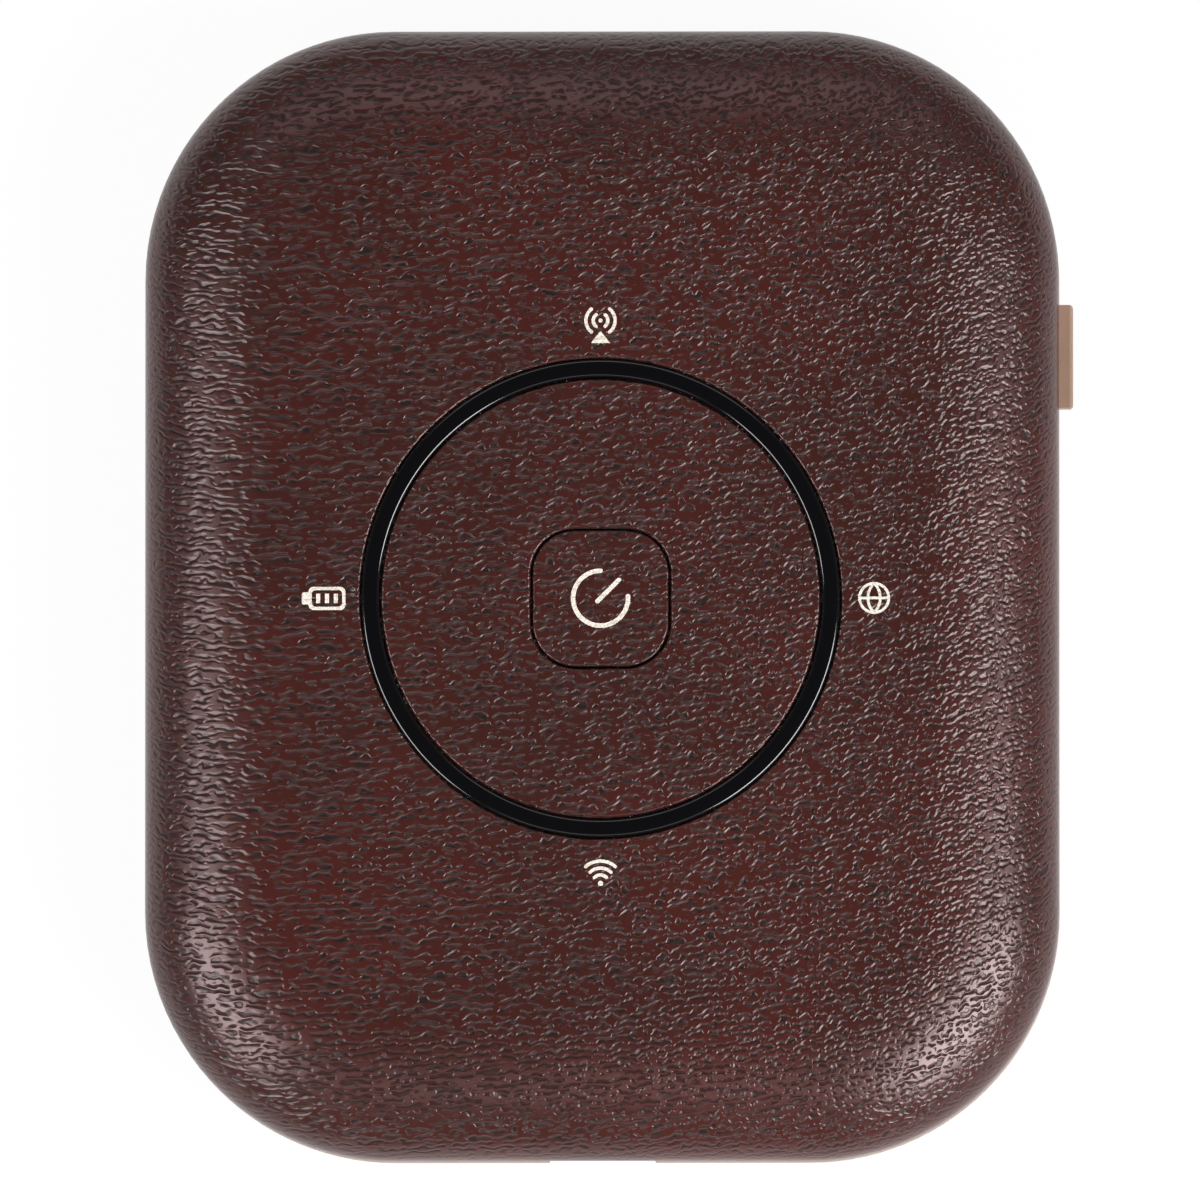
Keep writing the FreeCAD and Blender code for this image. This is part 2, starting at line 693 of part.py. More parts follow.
def snap_blocks(outer_inset, inner_inset, margin):
    """A box at every snap, between two insets and larger than the ridge by margin."""
    depth = inner_inset - outer_inset
    middle = (inner_inset + outer_inset) / 2
    bottom = BACK_DEPTH - SNAP_BELOW_SEAM - SNAP_HEIGHT / 2 - margin
    height = SNAP_HEIGHT + 2 * margin
    length = SNAP_LENGTH + 2 * margin
    blocks = []
    for x, y, along_x in snap_places():
        if along_x:
            blocks.append(block(x, y * (LENGTH / 2 - middle), bottom, length, depth, height))
        else:
            blocks.append(block(x * (WIDTH / 2 - middle), y, bottom, depth, length, height))
    return blocks


def port_tunnel(margin, length):
    """The charging port's outline grown by margin, cut in through the end wall."""
    return lying_stadium(
        PORT_WIDTH + 2 * margin, PORT_HEIGHT + 2 * margin, length, -LENGTH / 2 - 1, PORT_Z
    )


def port_notch(bottom, top):
    """The shallow upright notch in the end face that the port opens into."""
    return span(
        (-PORT_NOTCH_WIDTH / 2, -LENGTH / 2 - 1, bottom),
        (PORT_NOTCH_WIDTH / 2, -LENGTH / 2 + PORT_NOTCH_DEPTH, top),
    )


def frame_band():
    """The tan band between the covers, with lips into both and a ledge over the chassis."""
    wall = outline_prism(0, BACK_DEPTH, BAND_TOP).cut(outline_prism(LIP_INNER, BACK_DEPTH, BAND_TOP))
    upper = front_form(BAND_WALL).common(
        outline_prism(0, BAND_TOP, BAND_TOP + LIP_HEIGHT).cut(
            outline_prism(LIP_INNER, BAND_TOP, BAND_TOP + LIP_HEIGHT)
        )
    )
    lower = back_form(BAND_WALL).common(
        outline_prism(0, BACK_DEPTH - LIP_HEIGHT, BACK_DEPTH).cut(
            outline_prism(LIP_INNER, BACK_DEPTH - LIP_HEIGHT, BACK_DEPTH)
        )
    )
    ledge_top = DECK_TOP + LEDGE_THICKNESS
    ledge = outline_prism(LIP_INNER, DECK_TOP, ledge_top).cut(
        outline_prism(LEDGE_INNER, DECK_TOP, ledge_top)
    )
    band = fused([wall, upper, lower, ledge])
    key_half = SIDE_KEY_LENGTH / 2 + SIDE_KEY_GAP
    key_tall = SIDE_KEY_HEIGHT / 2 + SIDE_KEY_GAP
    flange_half = SIDE_KEY_LENGTH / 2 + SIDE_KEY_FLANGE_MARGIN + 2 * SIDE_KEY_GAP
    flange_tall = SIDE_KEY_HEIGHT / 2 + SIDE_KEY_FLANGE_RISE + SIDE_KEY_GAP
    tools = [
        port_notch(BACK_DEPTH - LIP_HEIGHT, BAND_TOP + LIP_HEIGHT),
        port_tunnel(PORT_CLEARANCE, LEDGE_INNER + 2),
        span(
            (WIDTH / 2 - BAND_WALL - 1, SIDE_KEY_Y - key_half, PORT_Z - key_tall),
            (WIDTH / 2 + 1, SIDE_KEY_Y + key_half, PORT_Z + key_tall),
        ),
        span(
            (WIDTH / 2 - LEDGE_INNER - 1, SIDE_KEY_Y - flange_half, PORT_Z - flange_tall),
            (WIDTH / 2 - BAND_WALL, SIDE_KEY_Y + flange_half, PORT_Z + flange_tall),
        ),
    ]
    tools += snap_blocks(BAND_WALL - 1, COVER_WALL + SNAP_BITE + SNAP_CLEARANCE, SNAP_CLEARANCE)
    return cut(band, tools)


def back_cover():
    """The snap-on back shell with its ridges, fingernail notch, port notch and bare panel."""
    shell = back_form(0).cut(back_form(COVER_WALL))
    ridges = snap_blocks(COVER_WALL / 2, COVER_WALL + SNAP_BITE, 0)
    shell = fused([shell] + ridges)
    notch_x = -WIDTH / 2 - NAIL_NOTCH_RADIUS + NAIL_NOTCH_DEPTH
    tools = [
        post(notch_x, NAIL_NOTCH_Y, BACK_DEPTH - NAIL_NOTCH_HEIGHT, NAIL_NOTCH_RADIUS, NAIL_NOTCH_HEIGHT),
        port_notch(0, BACK_DEPTH),
        rounded_plate(0, PANEL_Y, 0, PANEL_WIDTH, PANEL_LENGTH, PANEL_DEPTH, PANEL_RADIUS),
    ]
    return cut(shell, tools)


def inner_chassis():
    """The black tray that carries the board above and holds the battery below."""
    plate = outline_prism(LIP_INNER + CHASSIS_CLEARANCE, DECK_BOTTOM, DECK_TOP)
    bay_width = BATTERY_WIDTH + 2 * BAY_CLEARANCE
    bay_length = BATTERY_LENGTH + 2 * BAY_CLEARANCE
    bay_bottom = FLOOR + BAY_FLOOR_GAP
    bay_height = DECK_BOTTOM - bay_bottom
    bay = block(
        BATTERY_X, BATTERY_Y, bay_bottom, bay_width + 2 * BAY_WALL, bay_length + 2 * BAY_WALL, bay_height
    ).cut(block(BATTERY_X, BATTERY_Y, bay_bottom, bay_width, bay_length, bay_height))
    standoffs = [
        post(x, y, DECK_TOP, BOSS_RADIUS, STANDOFF_HEIGHT) for x, y in CASE_SCREW_PLACES
    ]
    board_boss_bottom = BOARD_TOP - BOARD_SCREW_LENGTH - SCREW_TIP_GAP
    bosses = [
        post(x, y, board_boss_bottom, BOARD_SCREW_BOSS_RADIUS, BOARD_BOTTOM - board_boss_bottom)
        for x, y in BOARD_SCREW_PLACES
    ]
    tray = fused([plate, bay] + standoffs + bosses)
    tools = [
        post(x, y, DECK_BOTTOM - 1, SCREW_RADIUS + SCREW_HOLE_CLEARANCE, BOARD_TOP - DECK_BOTTOM)
        for x, y in CASE_SCREW_PLACES
    ]
    tools += [
        post(x, y, board_boss_bottom, SCREW_RADIUS + SCREW_CLEARANCE, BOARD_TOP - board_boss_bottom)
        for x, y in BOARD_SCREW_PLACES
    ]
    tools += [port_window(), terminal_window(), card_window(), key_window(), reset_window()]
    return cut(tray, tools)


def port_window():
    """The room in the chassis round the charging port."""
    half = PORT_WIDTH / 2 + WINDOW_MARGIN
    return span(
        (-half, -LENGTH / 2, DECK_BOTTOM - 1),
        (half, PORT_MOUTH_Y + PORT_LENGTH + WINDOW_MARGIN, DECK_TOP + 1),
    )


def terminal_window():
    """The room in the chassis and bay wall for the battery terminals."""
    half = (TERMINAL_COUNT * TERMINAL_PITCH) / 2 + WINDOW_MARGIN
    return span(
        (
            BATTERY_X - half,
            BATTERY_END_Y - TERMINAL_LENGTH - TERMINAL_BLOCK_DEPTH - WINDOW_MARGIN,
            BOARD_BOTTOM - TERMINAL_BLOCK_DROP - WINDOW_MARGIN,
        ),
        (BATTERY_X + half, BATTERY_END_Y - BAY_CLEARANCE / 2, DECK_TOP + 1),
    )


def card_window():
    """The slot in the chassis that the card is drawn out along."""
    half = CARD_WIDTH / 2 + CARD_SIDE_CLEARANCE + SOCKET_SIDE + WINDOW_MARGIN
    return span(
        (SOCKET_X - half, CARD_FRONT_Y - CARD_TRAVEL - WINDOW_MARGIN, DECK_BOTTOM - 1),
        (SOCKET_X + half, SOCKET_BACK_Y + WINDOW_MARGIN, DECK_TOP + 1),
    )


def key_window():
    """The room in the chassis for the side key and its switch."""
    half = SIDE_KEY_LENGTH / 2 + SIDE_KEY_FLANGE_MARGIN + 2 * SIDE_KEY_GAP + WINDOW_MARGIN
    inner = WIDTH / 2 - BOARD_INSET - SIDE_SWITCH_SETBACK - SIDE_SWITCH_DEPTH - WINDOW_MARGIN
    return span(
        (inner, SIDE_KEY_Y - half, DECK_BOTTOM - 1), (WIDTH / 2, SIDE_KEY_Y + half, DECK_TOP + 1)
    )


def reset_window():
    """The round hole in the chassis that the reset switch looks out of."""
    side = RESET_SIZE + 2 * WINDOW_MARGIN
    return block(RESET_X, RESET_Y, DECK_BOTTOM - 1, side, side, DECK_THICKNESS + 2)


# Board and what is on it
def main_board():
    """The circuit board with its screw holes."""
    board = outline_prism(BOARD_INSET, BOARD_BOTTOM, BOARD_TOP)
    holes = [
        post(x, y, BOARD_BOTTOM, SCREW_RADIUS + SCREW_HOLE_CLEARANCE, BOARD_THICKNESS)
        for x, y in CASE_SCREW_PLACES + BOARD_SCREW_PLACES
    ]
    return cut(board, holes)


def shield_centre(name):
    """Centre x and y of a shield can."""
    side, gap, centre_y, width, _ = SHIELDS[name]
    return side * (WIDTH / 2 - gap - width / 2), centre_y


def shield_can(name):
    """A pressed steel lid with a top and four walls, open to the board."""
    centre_x, centre_y = shield_centre(name)
    width, length = SHIELDS[name][3:]
    outer = rounded_plate(centre_x, centre_y, BOARD_TOP, width, length, SHIELD_HEIGHT, SHIELD_CORNER)
    inner = rounded_plate(
        centre_x, centre_y, BOARD_TOP, width - 2 * SHIELD_WALL, length - 2 * SHIELD_WALL,
        SHIELD_HEIGHT - SHIELD_WALL, SHIELD_CORNER - SHIELD_WALL,
    )
    return outer.cut(inner)


def chip(name):
    """One chip on the board, under its shield can."""
    shield, offset, width, length, height = CHIPS[name]
    x, y = shield_centre(shield)
    return block(x + offset, y, BOARD_TOP, width, length, height)


def thermal_pads():
    """Soft pads that fill the gap between each chip and its shield can."""
    inside_top = BOARD_TOP + SHIELD_HEIGHT - SHIELD_WALL
    pads = []
    for shield, offset, width, length, height in CHIPS.values():
        x, y = shield_centre(shield)
        bottom = BOARD_TOP + height
        pads.append(block(x + offset, y, bottom, width, length, inside_top - bottom))
    return pads


def board_passives():
    """Two rows of small components beside the charging port."""
    return [
        block(
            side * (PASSIVE_ROW_X + PASSIVE_PITCH * k), PASSIVE_ROW_SETBACK - LENGTH / 2, BOARD_TOP,
            PASSIVE_WIDTH, PASSIVE_LENGTH, PASSIVE_HEIGHT,
        )
        for side in (-1, 1)
        for k in range(PASSIVE_COUNT)
    ]


def port_shell():
    """The charging port's drawn steel shell, open at its mouth."""
    outer = lying_stadium(PORT_WIDTH, PORT_HEIGHT, PORT_LENGTH, PORT_MOUTH_Y, PORT_Z)
    inner = lying_stadium(
        PORT_WIDTH - 2 * PORT_SHELL, PORT_HEIGHT - 2 * PORT_SHELL, PORT_LENGTH, PORT_MOUTH_Y, PORT_Z
    )
    return outer.cut(inner)


def port_tongue():
    """The port's moulded back block with the tongue that stands out of it."""
    back_y = PORT_MOUTH_Y + PORT_LENGTH
    seal = lying_stadium(
        PORT_WIDTH - 2 * PORT_SHELL, PORT_HEIGHT - 2 * PORT_SHELL, PORT_BACK_BLOCK,
        back_y - PORT_BACK_BLOCK, PORT_Z,
    )
    tongue = span(
        (-TONGUE_WIDTH / 2, PORT_MOUTH_Y + TONGUE_SETBACK, PORT_Z - TONGUE_THICKNESS / 2),
        (TONGUE_WIDTH / 2, back_y - PORT_BACK_BLOCK, PORT_Z + TONGUE_THICKNESS / 2),
    )
    return fused([seal, tongue])


def port_contacts():
    """Gold strips in a row on each face of the tongue."""
    strips = []
    start_y = PORT_MOUTH_Y + PORT_LENGTH - PORT_BACK_BLOCK - CONTACT_LENGTH
    for k in range(CONTACT_COUNT):
        x = (k - (CONTACT_COUNT - 1) / 2) * CONTACT_PITCH
        for bottom in (
            PORT_Z + TONGUE_THICKNESS / 2,
            PORT_Z - TONGUE_THICKNESS / 2 - CONTACT_THICKNESS,
        ):
            strips.append(Part.makeBox(
                CONTACT_WIDTH, CONTACT_LENGTH, CONTACT_THICKNESS,
                Vector(x - CONTACT_WIDTH / 2, start_y, bottom),
            ))
    return strips


def card_socket():
    """The metal cage that the card slides into from -Y."""
    half = CARD_WIDTH / 2 + CARD_SIDE_CLEARANCE
    bottom = CARD_Z - CARD_SIDE_CLEARANCE - SOCKET_FLOOR
    front_y = CARD_FRONT_Y + CARD_PROUD
    cage = span(
        (SOCKET_X - half - SOCKET_SIDE, front_y, bottom),
        (SOCKET_X + half + SOCKET_SIDE, SOCKET_BACK_Y, BOARD_BOTTOM),
    )
    slot = span(
        (SOCKET_X - half, front_y - 1, CARD_Z - CARD_SIDE_CLEARANCE),
        (SOCKET_X + half, SOCKET_BACK_Y - SOCKET_END, BOARD_BOTTOM - SOCKET_ROOF),
    )
    return cage.cut(slot)


def network_card():
    """The plastic card with its clipped corner."""
    left, right = SOCKET_X - CARD_WIDTH / 2, SOCKET_X + CARD_WIDTH / 2
    points = [
        Vector(x, y, CARD_Z)
        for x, y in (
            (left, CARD_FRONT_Y), (right, CARD_FRONT_Y), (right, CARD_BACK_Y - CARD_CUT),
            (right - CARD_CUT, CARD_BACK_Y), (left, CARD_BACK_Y),
        )
    ]
    return Part.Face(Part.makePolygon(points + points[:1])).extrude(Vector(0, 0, CARD_THICKNESS))


def push_switch(centre_x, centre_y, size, height, plunger_radius, facing_up):
    """A square switch body with a blind round hole for its plunger."""
    bottom = BOARD_TOP if facing_up else BOARD_BOTTOM - height
    body = block(centre_x, centre_y, bottom, size, size, height)
    depth = height - SOCKET_FLOOR
    hole_bottom = bottom + SOCKET_FLOOR if facing_up else bottom
    return body.cut(
        post(centre_x, centre_y, hole_bottom, plunger_radius + SWITCH_PLUNGER_CLEARANCE, depth)
    )


def power_plunger():
    """The power switch's plunger, standing a little out of its body."""
    top = BOARD_TOP + SWITCH_HEIGHT + SWITCH_PLUNGER_PROUD
    length = SWITCH_PLUNGER_PROUD + SWITCH_PLUNGER_TAIL
    return post(0, DIAL_Y, top - length, SWITCH_PLUNGER_RADIUS, length)


def reset_plunger():
    """The reset switch's plunger, facing the back."""
    bottom = BOARD_BOTTOM - RESET_HEIGHT - SWITCH_PLUNGER_PROUD
    length = SWITCH_PLUNGER_PROUD + RESET_HEIGHT - SOCKET_FLOOR - RESET_TRAVEL - REST_CLEARANCE
    return post(RESET_X, RESET_Y, bottom, RESET_PLUNGER_RADIUS, length)


def side_switch_face():
    """X of the side switch's front."""
    return WIDTH / 2 - BOARD_INSET - SIDE_SWITCH_SETBACK


def side_switch():
    """The side switch's body under the board's edge, with a slot for its plunger."""
    face = side_switch_face()
    body = span(
        (face - SIDE_SWITCH_DEPTH, SIDE_KEY_Y - SIDE_SWITCH_LENGTH / 2, BOARD_BOTTOM - SIDE_SWITCH_HEIGHT),
        (face, SIDE_KEY_Y + SIDE_SWITCH_LENGTH / 2, BOARD_BOTTOM),
    )
    centre_z = BOARD_BOTTOM - SIDE_SWITCH_HEIGHT / 2
    half_y = SIDE_PLUNGER_WIDTH / 2 + SWITCH_PLUNGER_CLEARANCE
    half_z = SIDE_PLUNGER_HEIGHT / 2 + SWITCH_PLUNGER_CLEARANCE
    depth = SWITCH_PLUNGER_TAIL + SIDE_KEY_TRAVEL + REST_CLEARANCE
    slot = span(
        (face - depth, SIDE_KEY_Y - half_y, centre_z - half_z),
        (face + 1, SIDE_KEY_Y + half_y, centre_z + half_z),
    )
    return body.cut(slot)


def side_plunger():
    """The side switch's plunger, which the key's nub rests on."""
    face = side_switch_face()
    centre_z = BOARD_BOTTOM - SIDE_SWITCH_HEIGHT / 2
    return span(
        (face - SWITCH_PLUNGER_TAIL, SIDE_KEY_Y - SIDE_PLUNGER_WIDTH / 2, centre_z - SIDE_PLUNGER_HEIGHT / 2),
        (face + SIDE_PLUNGER_PROUD, SIDE_KEY_Y + SIDE_PLUNGER_WIDTH / 2, centre_z + SIDE_PLUNGER_HEIGHT / 2),
    )


def side_key():
    """The tan key: a rounded head through the band, a flange behind it and a nub."""
    flange_face = WIDTH / 2 - BAND_WALL - REST_CLEARANCE
    half_y = SIDE_KEY_LENGTH / 2
    half_z = SIDE_KEY_HEIGHT / 2
    head = span(
        (flange_face, SIDE_KEY_Y - half_y, PORT_Z - half_z),
        (WIDTH / 2 + SIDE_KEY_PROUD, SIDE_KEY_Y + half_y, PORT_Z + half_z),
    )
    outer_edges = [
        edge for edge in head.Edges
        if edge.BoundBox.XMin > WIDTH / 2 + SIDE_KEY_PROUD - 1e-6
    ]
    head = head.makeFillet(SIDE_KEY_ROUND, outer_edges)
    margin = SIDE_KEY_FLANGE_MARGIN
    rise = SIDE_KEY_FLANGE_RISE
    flange = span(
        (flange_face - SIDE_KEY_FLANGE, SIDE_KEY_Y - half_y - margin, PORT_Z - half_z - rise),
        (flange_face, SIDE_KEY_Y + half_y + margin, PORT_Z + half_z + rise),
    )
    tip = side_switch_face() + SIDE_PLUNGER_PROUD
    centre_z = BOARD_BOTTOM - SIDE_SWITCH_HEIGHT / 2
    nub_y = SIDE_PLUNGER_WIDTH / 2 + SIDE_NUB_MARGIN
    nub_z = SIDE_PLUNGER_HEIGHT / 2 + SIDE_NUB_MARGIN / 2
    nub = span(
        (tip, SIDE_KEY_Y - nub_y, centre_z - nub_z),
        (flange_face - SIDE_KEY_FLANGE, SIDE_KEY_Y + nub_y, centre_z + nub_z),
    )
    return fused([head, flange, nub])


def power_button():
    """The square button cap with a flange that stops it under the front cover."""
    flange_top = CEILING - REST_CLEARANCE
    cap = rounded_plate(
        0, DIAL_Y, flange_top, POWER_SIZE, POWER_SIZE, TOP - flange_top, POWER_CORNER
    )
    top_edges = [edge for edge in cap.Edges if edge.BoundBox.ZMin > TOP - 1e-6]
    cap = cap.makeFillet(POWER_EDGE, top_edges)
    side = POWER_SIZE + 2 * POWER_FLANGE_MARGIN
    flange = rounded_plate(
        0, DIAL_Y, flange_top - POWER_FLANGE_THICKNESS, side, side,
        POWER_FLANGE_THICKNESS, POWER_CORNER + POWER_FLANGE_MARGIN,
    )
    flange_bottom = flange_top - POWER_FLANGE_THICKNESS
    well = post(0, DIAL_Y, flange_bottom, GUIDE_RADIUS + GUIDE_CLEARANCE, SIGN_FLOOR - flange_bottom)
    return cut(fused([cap, flange]), [well] + placed_power_sign(SIGN_CLEARANCE))


def button_light_guide():
    """The clear disc inside the button, with the stem that presses the switch."""
    bottom = CEILING - REST_CLEARANCE - POWER_FLANGE_THICKNESS
    stem_bottom = BOARD_TOP + SWITCH_HEIGHT + SWITCH_PLUNGER_PROUD
    disc = post(0, DIAL_Y, bottom, GUIDE_RADIUS, SIGN_FLOOR - bottom)
    stem = post(0, DIAL_Y, stem_bottom, GUIDE_STEM_RADIUS, bottom - stem_bottom)
    return fused([disc, stem])


def light_guides():
    """A clear guide behind each status sign: a block in its well, a flange and a column.

    A thin web of the cover stays between the guide and its sign, and the light shines through.
    """
    guides = []
    column_bottom = LAMP_TOP + LAMP_GAP
    flange_bottom = CEILING - GUIDE_FLANGE_THICKNESS
    for x, y in SIGN_PLACES.values():
        well = block(
            x, y, CEILING, WELL_WIDTH - 2 * WELL_CLEARANCE, WELL_LENGTH - 2 * WELL_CLEARANCE,
            WELL_TOP - CEILING,
        )
        flange = block(
            x, y, flange_bottom, WELL_WIDTH + 2 * GUIDE_FLANGE_MARGIN,
            WELL_LENGTH + 2 * GUIDE_FLANGE_MARGIN, GUIDE_FLANGE_THICKNESS,
        )
        column = block(
            x, y, column_bottom, GUIDE_COLUMN_WIDTH, GUIDE_COLUMN_WIDTH, flange_bottom - column_bottom
        )
        guides.append(fused([well, flange, column]))
    return guides


def status_lamps():
    """One lamp on the board under each light guide."""
    return [
        block(x, y, BOARD_TOP, LAMP_LENGTH, LAMP_WIDTH, LAMP_HEIGHT)
        for x, y in SIGN_PLACES.values()
    ]


def power_lamp():
    """The lamp beside the power switch, under the button's light guide."""
    return block(POWER_LAMP_OFFSET, DIAL_Y, BOARD_TOP, LAMP_WIDTH, LAMP_LENGTH, LAMP_HEIGHT)


def antenna(name):
    """A flexible antenna stuck to the inside of the front cover."""
    x, y, width, length = ANTENNAS[name]
    return rounded_plate(
        x, y, CEILING - ANTENNA_THICKNESS, width, length, ANTENNA_THICKNESS, ANTENNA_CORNER
    )


def antenna_spring(x, y):
    """A bent strip that stands on the board and touches an antenna."""
    strip = ANTENNA_SPRING_STRIP
    foot = ANTENNA_SPRING_FOOT / 2
    lean = ANTENNA_SPRING_LEAN
    top = CEILING - ANTENNA_THICKNESS
    section = [
        (-foot, BOARD_TOP), (foot, BOARD_TOP), (foot, BOARD_TOP + strip),
        (-foot + strip + lean, BOARD_TOP + strip), (strip, top - strip),
        (foot, top - strip), (foot, top), (0, top), (-foot + lean, BOARD_TOP + strip),
        (-foot, BOARD_TOP + strip),
    ]
    points = [Vector(x - ANTENNA_SPRING_WIDTH / 2, y + along, z) for along, z in section]
    face = Part.Face(Part.makePolygon(points + points[:1]))
    return face.extrude(Vector(ANTENNA_SPRING_WIDTH, 0, 0))


def antenna_springs():
    """Two springs for each long antenna and one for each short one."""
    places = [
        (side * ANTENNA_SPRING_X, end * LONG_ANTENNA_Y) for side in (-1, 1) for end in (-1, 1)
    ]
    places += [
        (side * (SHORT_ANTENNA_X + SHORT_SPRING_OFFSET), SHORT_ANTENNA_Y) for side in (-1, 1)
    ]
    return [antenna_spring(x, y) for x, y in places]


# Battery
def battery_pack():
    """The flat battery with rounded corners."""
    return rounded_plate(
        BATTERY_X, BATTERY_Y, BATTERY_BOTTOM, BATTERY_WIDTH, BATTERY_LENGTH,
        BATTERY_THICKNESS, BATTERY_EDGE,
    )


def battery_pad():
    """The foam between the battery and the back cover."""
    return rounded_plate(
        BATTERY_X, BATTERY_Y, FLOOR, BATTERY_WIDTH - 2 * PAD_MARGIN,
        BATTERY_LENGTH - 2 * PAD_MARGIN, BATTERY_BOTTOM - FLOOR, BATTERY_EDGE,
    )


def heat_spreader():
    """The thin sheet on the chassis over the battery."""
    return rounded_plate(
        BATTERY_X, BATTERY_Y, DECK_TOP, BATTERY_WIDTH - 2 * SPREADER_MARGIN,
        BATTERY_LENGTH - 2 * SPREADER_MARGIN, SPREADER_THICKNESS, BATTERY_EDGE,
    )


def terminal_block():
    """The moulded block under the board that carries the battery terminals."""
    width = TERMINAL_COUNT * TERMINAL_PITCH
    front = BATTERY_END_Y - TERMINAL_LENGTH
    return span(
        (BATTERY_X - width / 2, front - TERMINAL_BLOCK_DEPTH, BOARD_BOTTOM - TERMINAL_BLOCK_DROP),
        (BATTERY_X + width / 2, front, BOARD_BOTTOM),
    )


def battery_terminals():
    """Gold blades between the block and the battery's end."""
    bottom = BOARD_BOTTOM - TERMINAL_BLOCK_DROP + WINDOW_MARGIN
    return [
        Part.makeBox(
            TERMINAL_WIDTH, TERMINAL_LENGTH, TERMINAL_HEIGHT,
            Vector(
                BATTERY_X + (k - (TERMINAL_COUNT - 1) / 2) * TERMINAL_PITCH - TERMINAL_WIDTH / 2,
                BATTERY_END_Y - TERMINAL_LENGTH,
                bottom,
            ),
        )
        for k in range(TERMINAL_COUNT)
    ]


# Fasteners
def screw(x, y, seat, length, up):
    """A hex-socket screw; its head rests on seat and its shank points up or down."""
    sign = 1 if up else -1
    head_bottom = seat - SCREW_HEAD_HEIGHT if up else seat
    shank_bottom = seat if up else seat - length
    head = post(x, y, head_bottom, SCREW_HEAD_RADIUS, SCREW_HEAD_HEIGHT)
    shank = post(x, y, shank_bottom, SCREW_RADIUS, length)
    radius = SOCKET_ACROSS_FLATS / math.sqrt(3)
    rim = seat - sign * SCREW_HEAD_HEIGHT
    points = [
        Vector(x + radius * math.cos(turn), y + radius * math.sin(turn), rim)
        for turn in (math.pi / 3 * k for k in range(6))
    ]
    recess = Part.Face(Part.makePolygon(points + points[:1])).extrude(
        Vector(0, 0, sign * SOCKET_DEPTH)
    )
    return fused([head, shank]).cut(recess)


def case_screws():
    """Four screws from the chassis through the board into the front cover."""
    return [screw(x, y, DECK_BOTTOM, CASE_SCREW_LENGTH, True) for x, y in CASE_SCREW_PLACES]


def board_screws():
    """Two screws that hold the board to the chassis."""
    return [screw(x, y, BOARD_TOP, BOARD_SCREW_LENGTH, False) for x, y in BOARD_SCREW_PLACES]


def parts():
    """Every node's solids by name."""
    made = {
        "front_cover": front_cover(),
        "ring_trim": ring_trim(),
        "frame_band": frame_band(),
        "back_cover": back_cover(),
        "inner_chassis": inner_chassis(),
        "main_board": main_board(),
        "power_button": power_button(),
        "power_sign": placed_power_sign(0),
        "button_light_guide": button_light_guide(),
        "power_switch": push_switch(
            0, DIAL_Y, SWITCH_SIZE, SWITCH_HEIGHT, SWITCH_PLUNGER_RADIUS, True
        ),
        "power_plunger": power_plunger(),
        "power_lamp": power_lamp(),
        "side_key": side_key(),
        "side_switch": side_switch(),
        "side_plunger": side_plunger(),
        "reset_switch": push_switch(
            RESET_X, RESET_Y, RESET_SIZE, RESET_HEIGHT, RESET_PLUNGER_RADIUS, False
        ),
        "reset_plunger": reset_plunger(),
        "port_shell": port_shell(),
        "port_tongue": port_tongue(),
        "port_contacts": port_contacts(),
        "card_socket": card_socket(),
        "network_card": network_card(),
        "battery_pack": battery_pack(),
        "battery_pad": battery_pad(),
        "terminal_block": terminal_block(),
        "battery_terminals": battery_terminals(),
        "heat_spreader": heat_spreader(),
        "light_guides": light_guides(),
        "status_lamps": status_lamps(),
        "thermal_pads": thermal_pads(),
        "board_passives": board_passives(),
        "antenna_springs": antenna_springs(),
        "case_screws": case_screws(),
        "board_screws": board_screws(),
    }
    for name in SIGN_PLACES:
        made[name] = placed_sign(name, 0)
    for name in SHIELDS:
        made[name] = shield_can(name)
    for name in CHIPS:
        made[name] = chip(name)
    for name in ANTENNAS:
        made[name] = antenna(name)
    return made


def main():
    """Writes one STEP file per node and prints its solids and volume."""
    os.makedirs("parts", exist_ok=True)
    for name, made in parts().items():
        solids = []
        for shape in made if isinstance(made, list) else [made]:
            solids += shape.Solids
        node = solids[0] if len(solids) == 1 else Part.Compound(solids)
        node.exportStep(os.path.join("parts", name + ".step"))
        valid = all(solid.isValid() and solid.Volume > 0 for solid in solids)
        print(f"{name}: {len(solids)} solids, {node.Volume:.2f} mm3, valid {valid}")


main()
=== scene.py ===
"""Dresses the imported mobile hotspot: leather grain, tan band, gloss ring and white signs."""

import json
import logging
import math
from dataclasses import dataclass
from enum import Enum
from typing import Iterable, Protocol, Sequence

import bmesh
import bpy
from mathutils import Matrix, Vector
from mathutils.geometry import interpolate_bezier

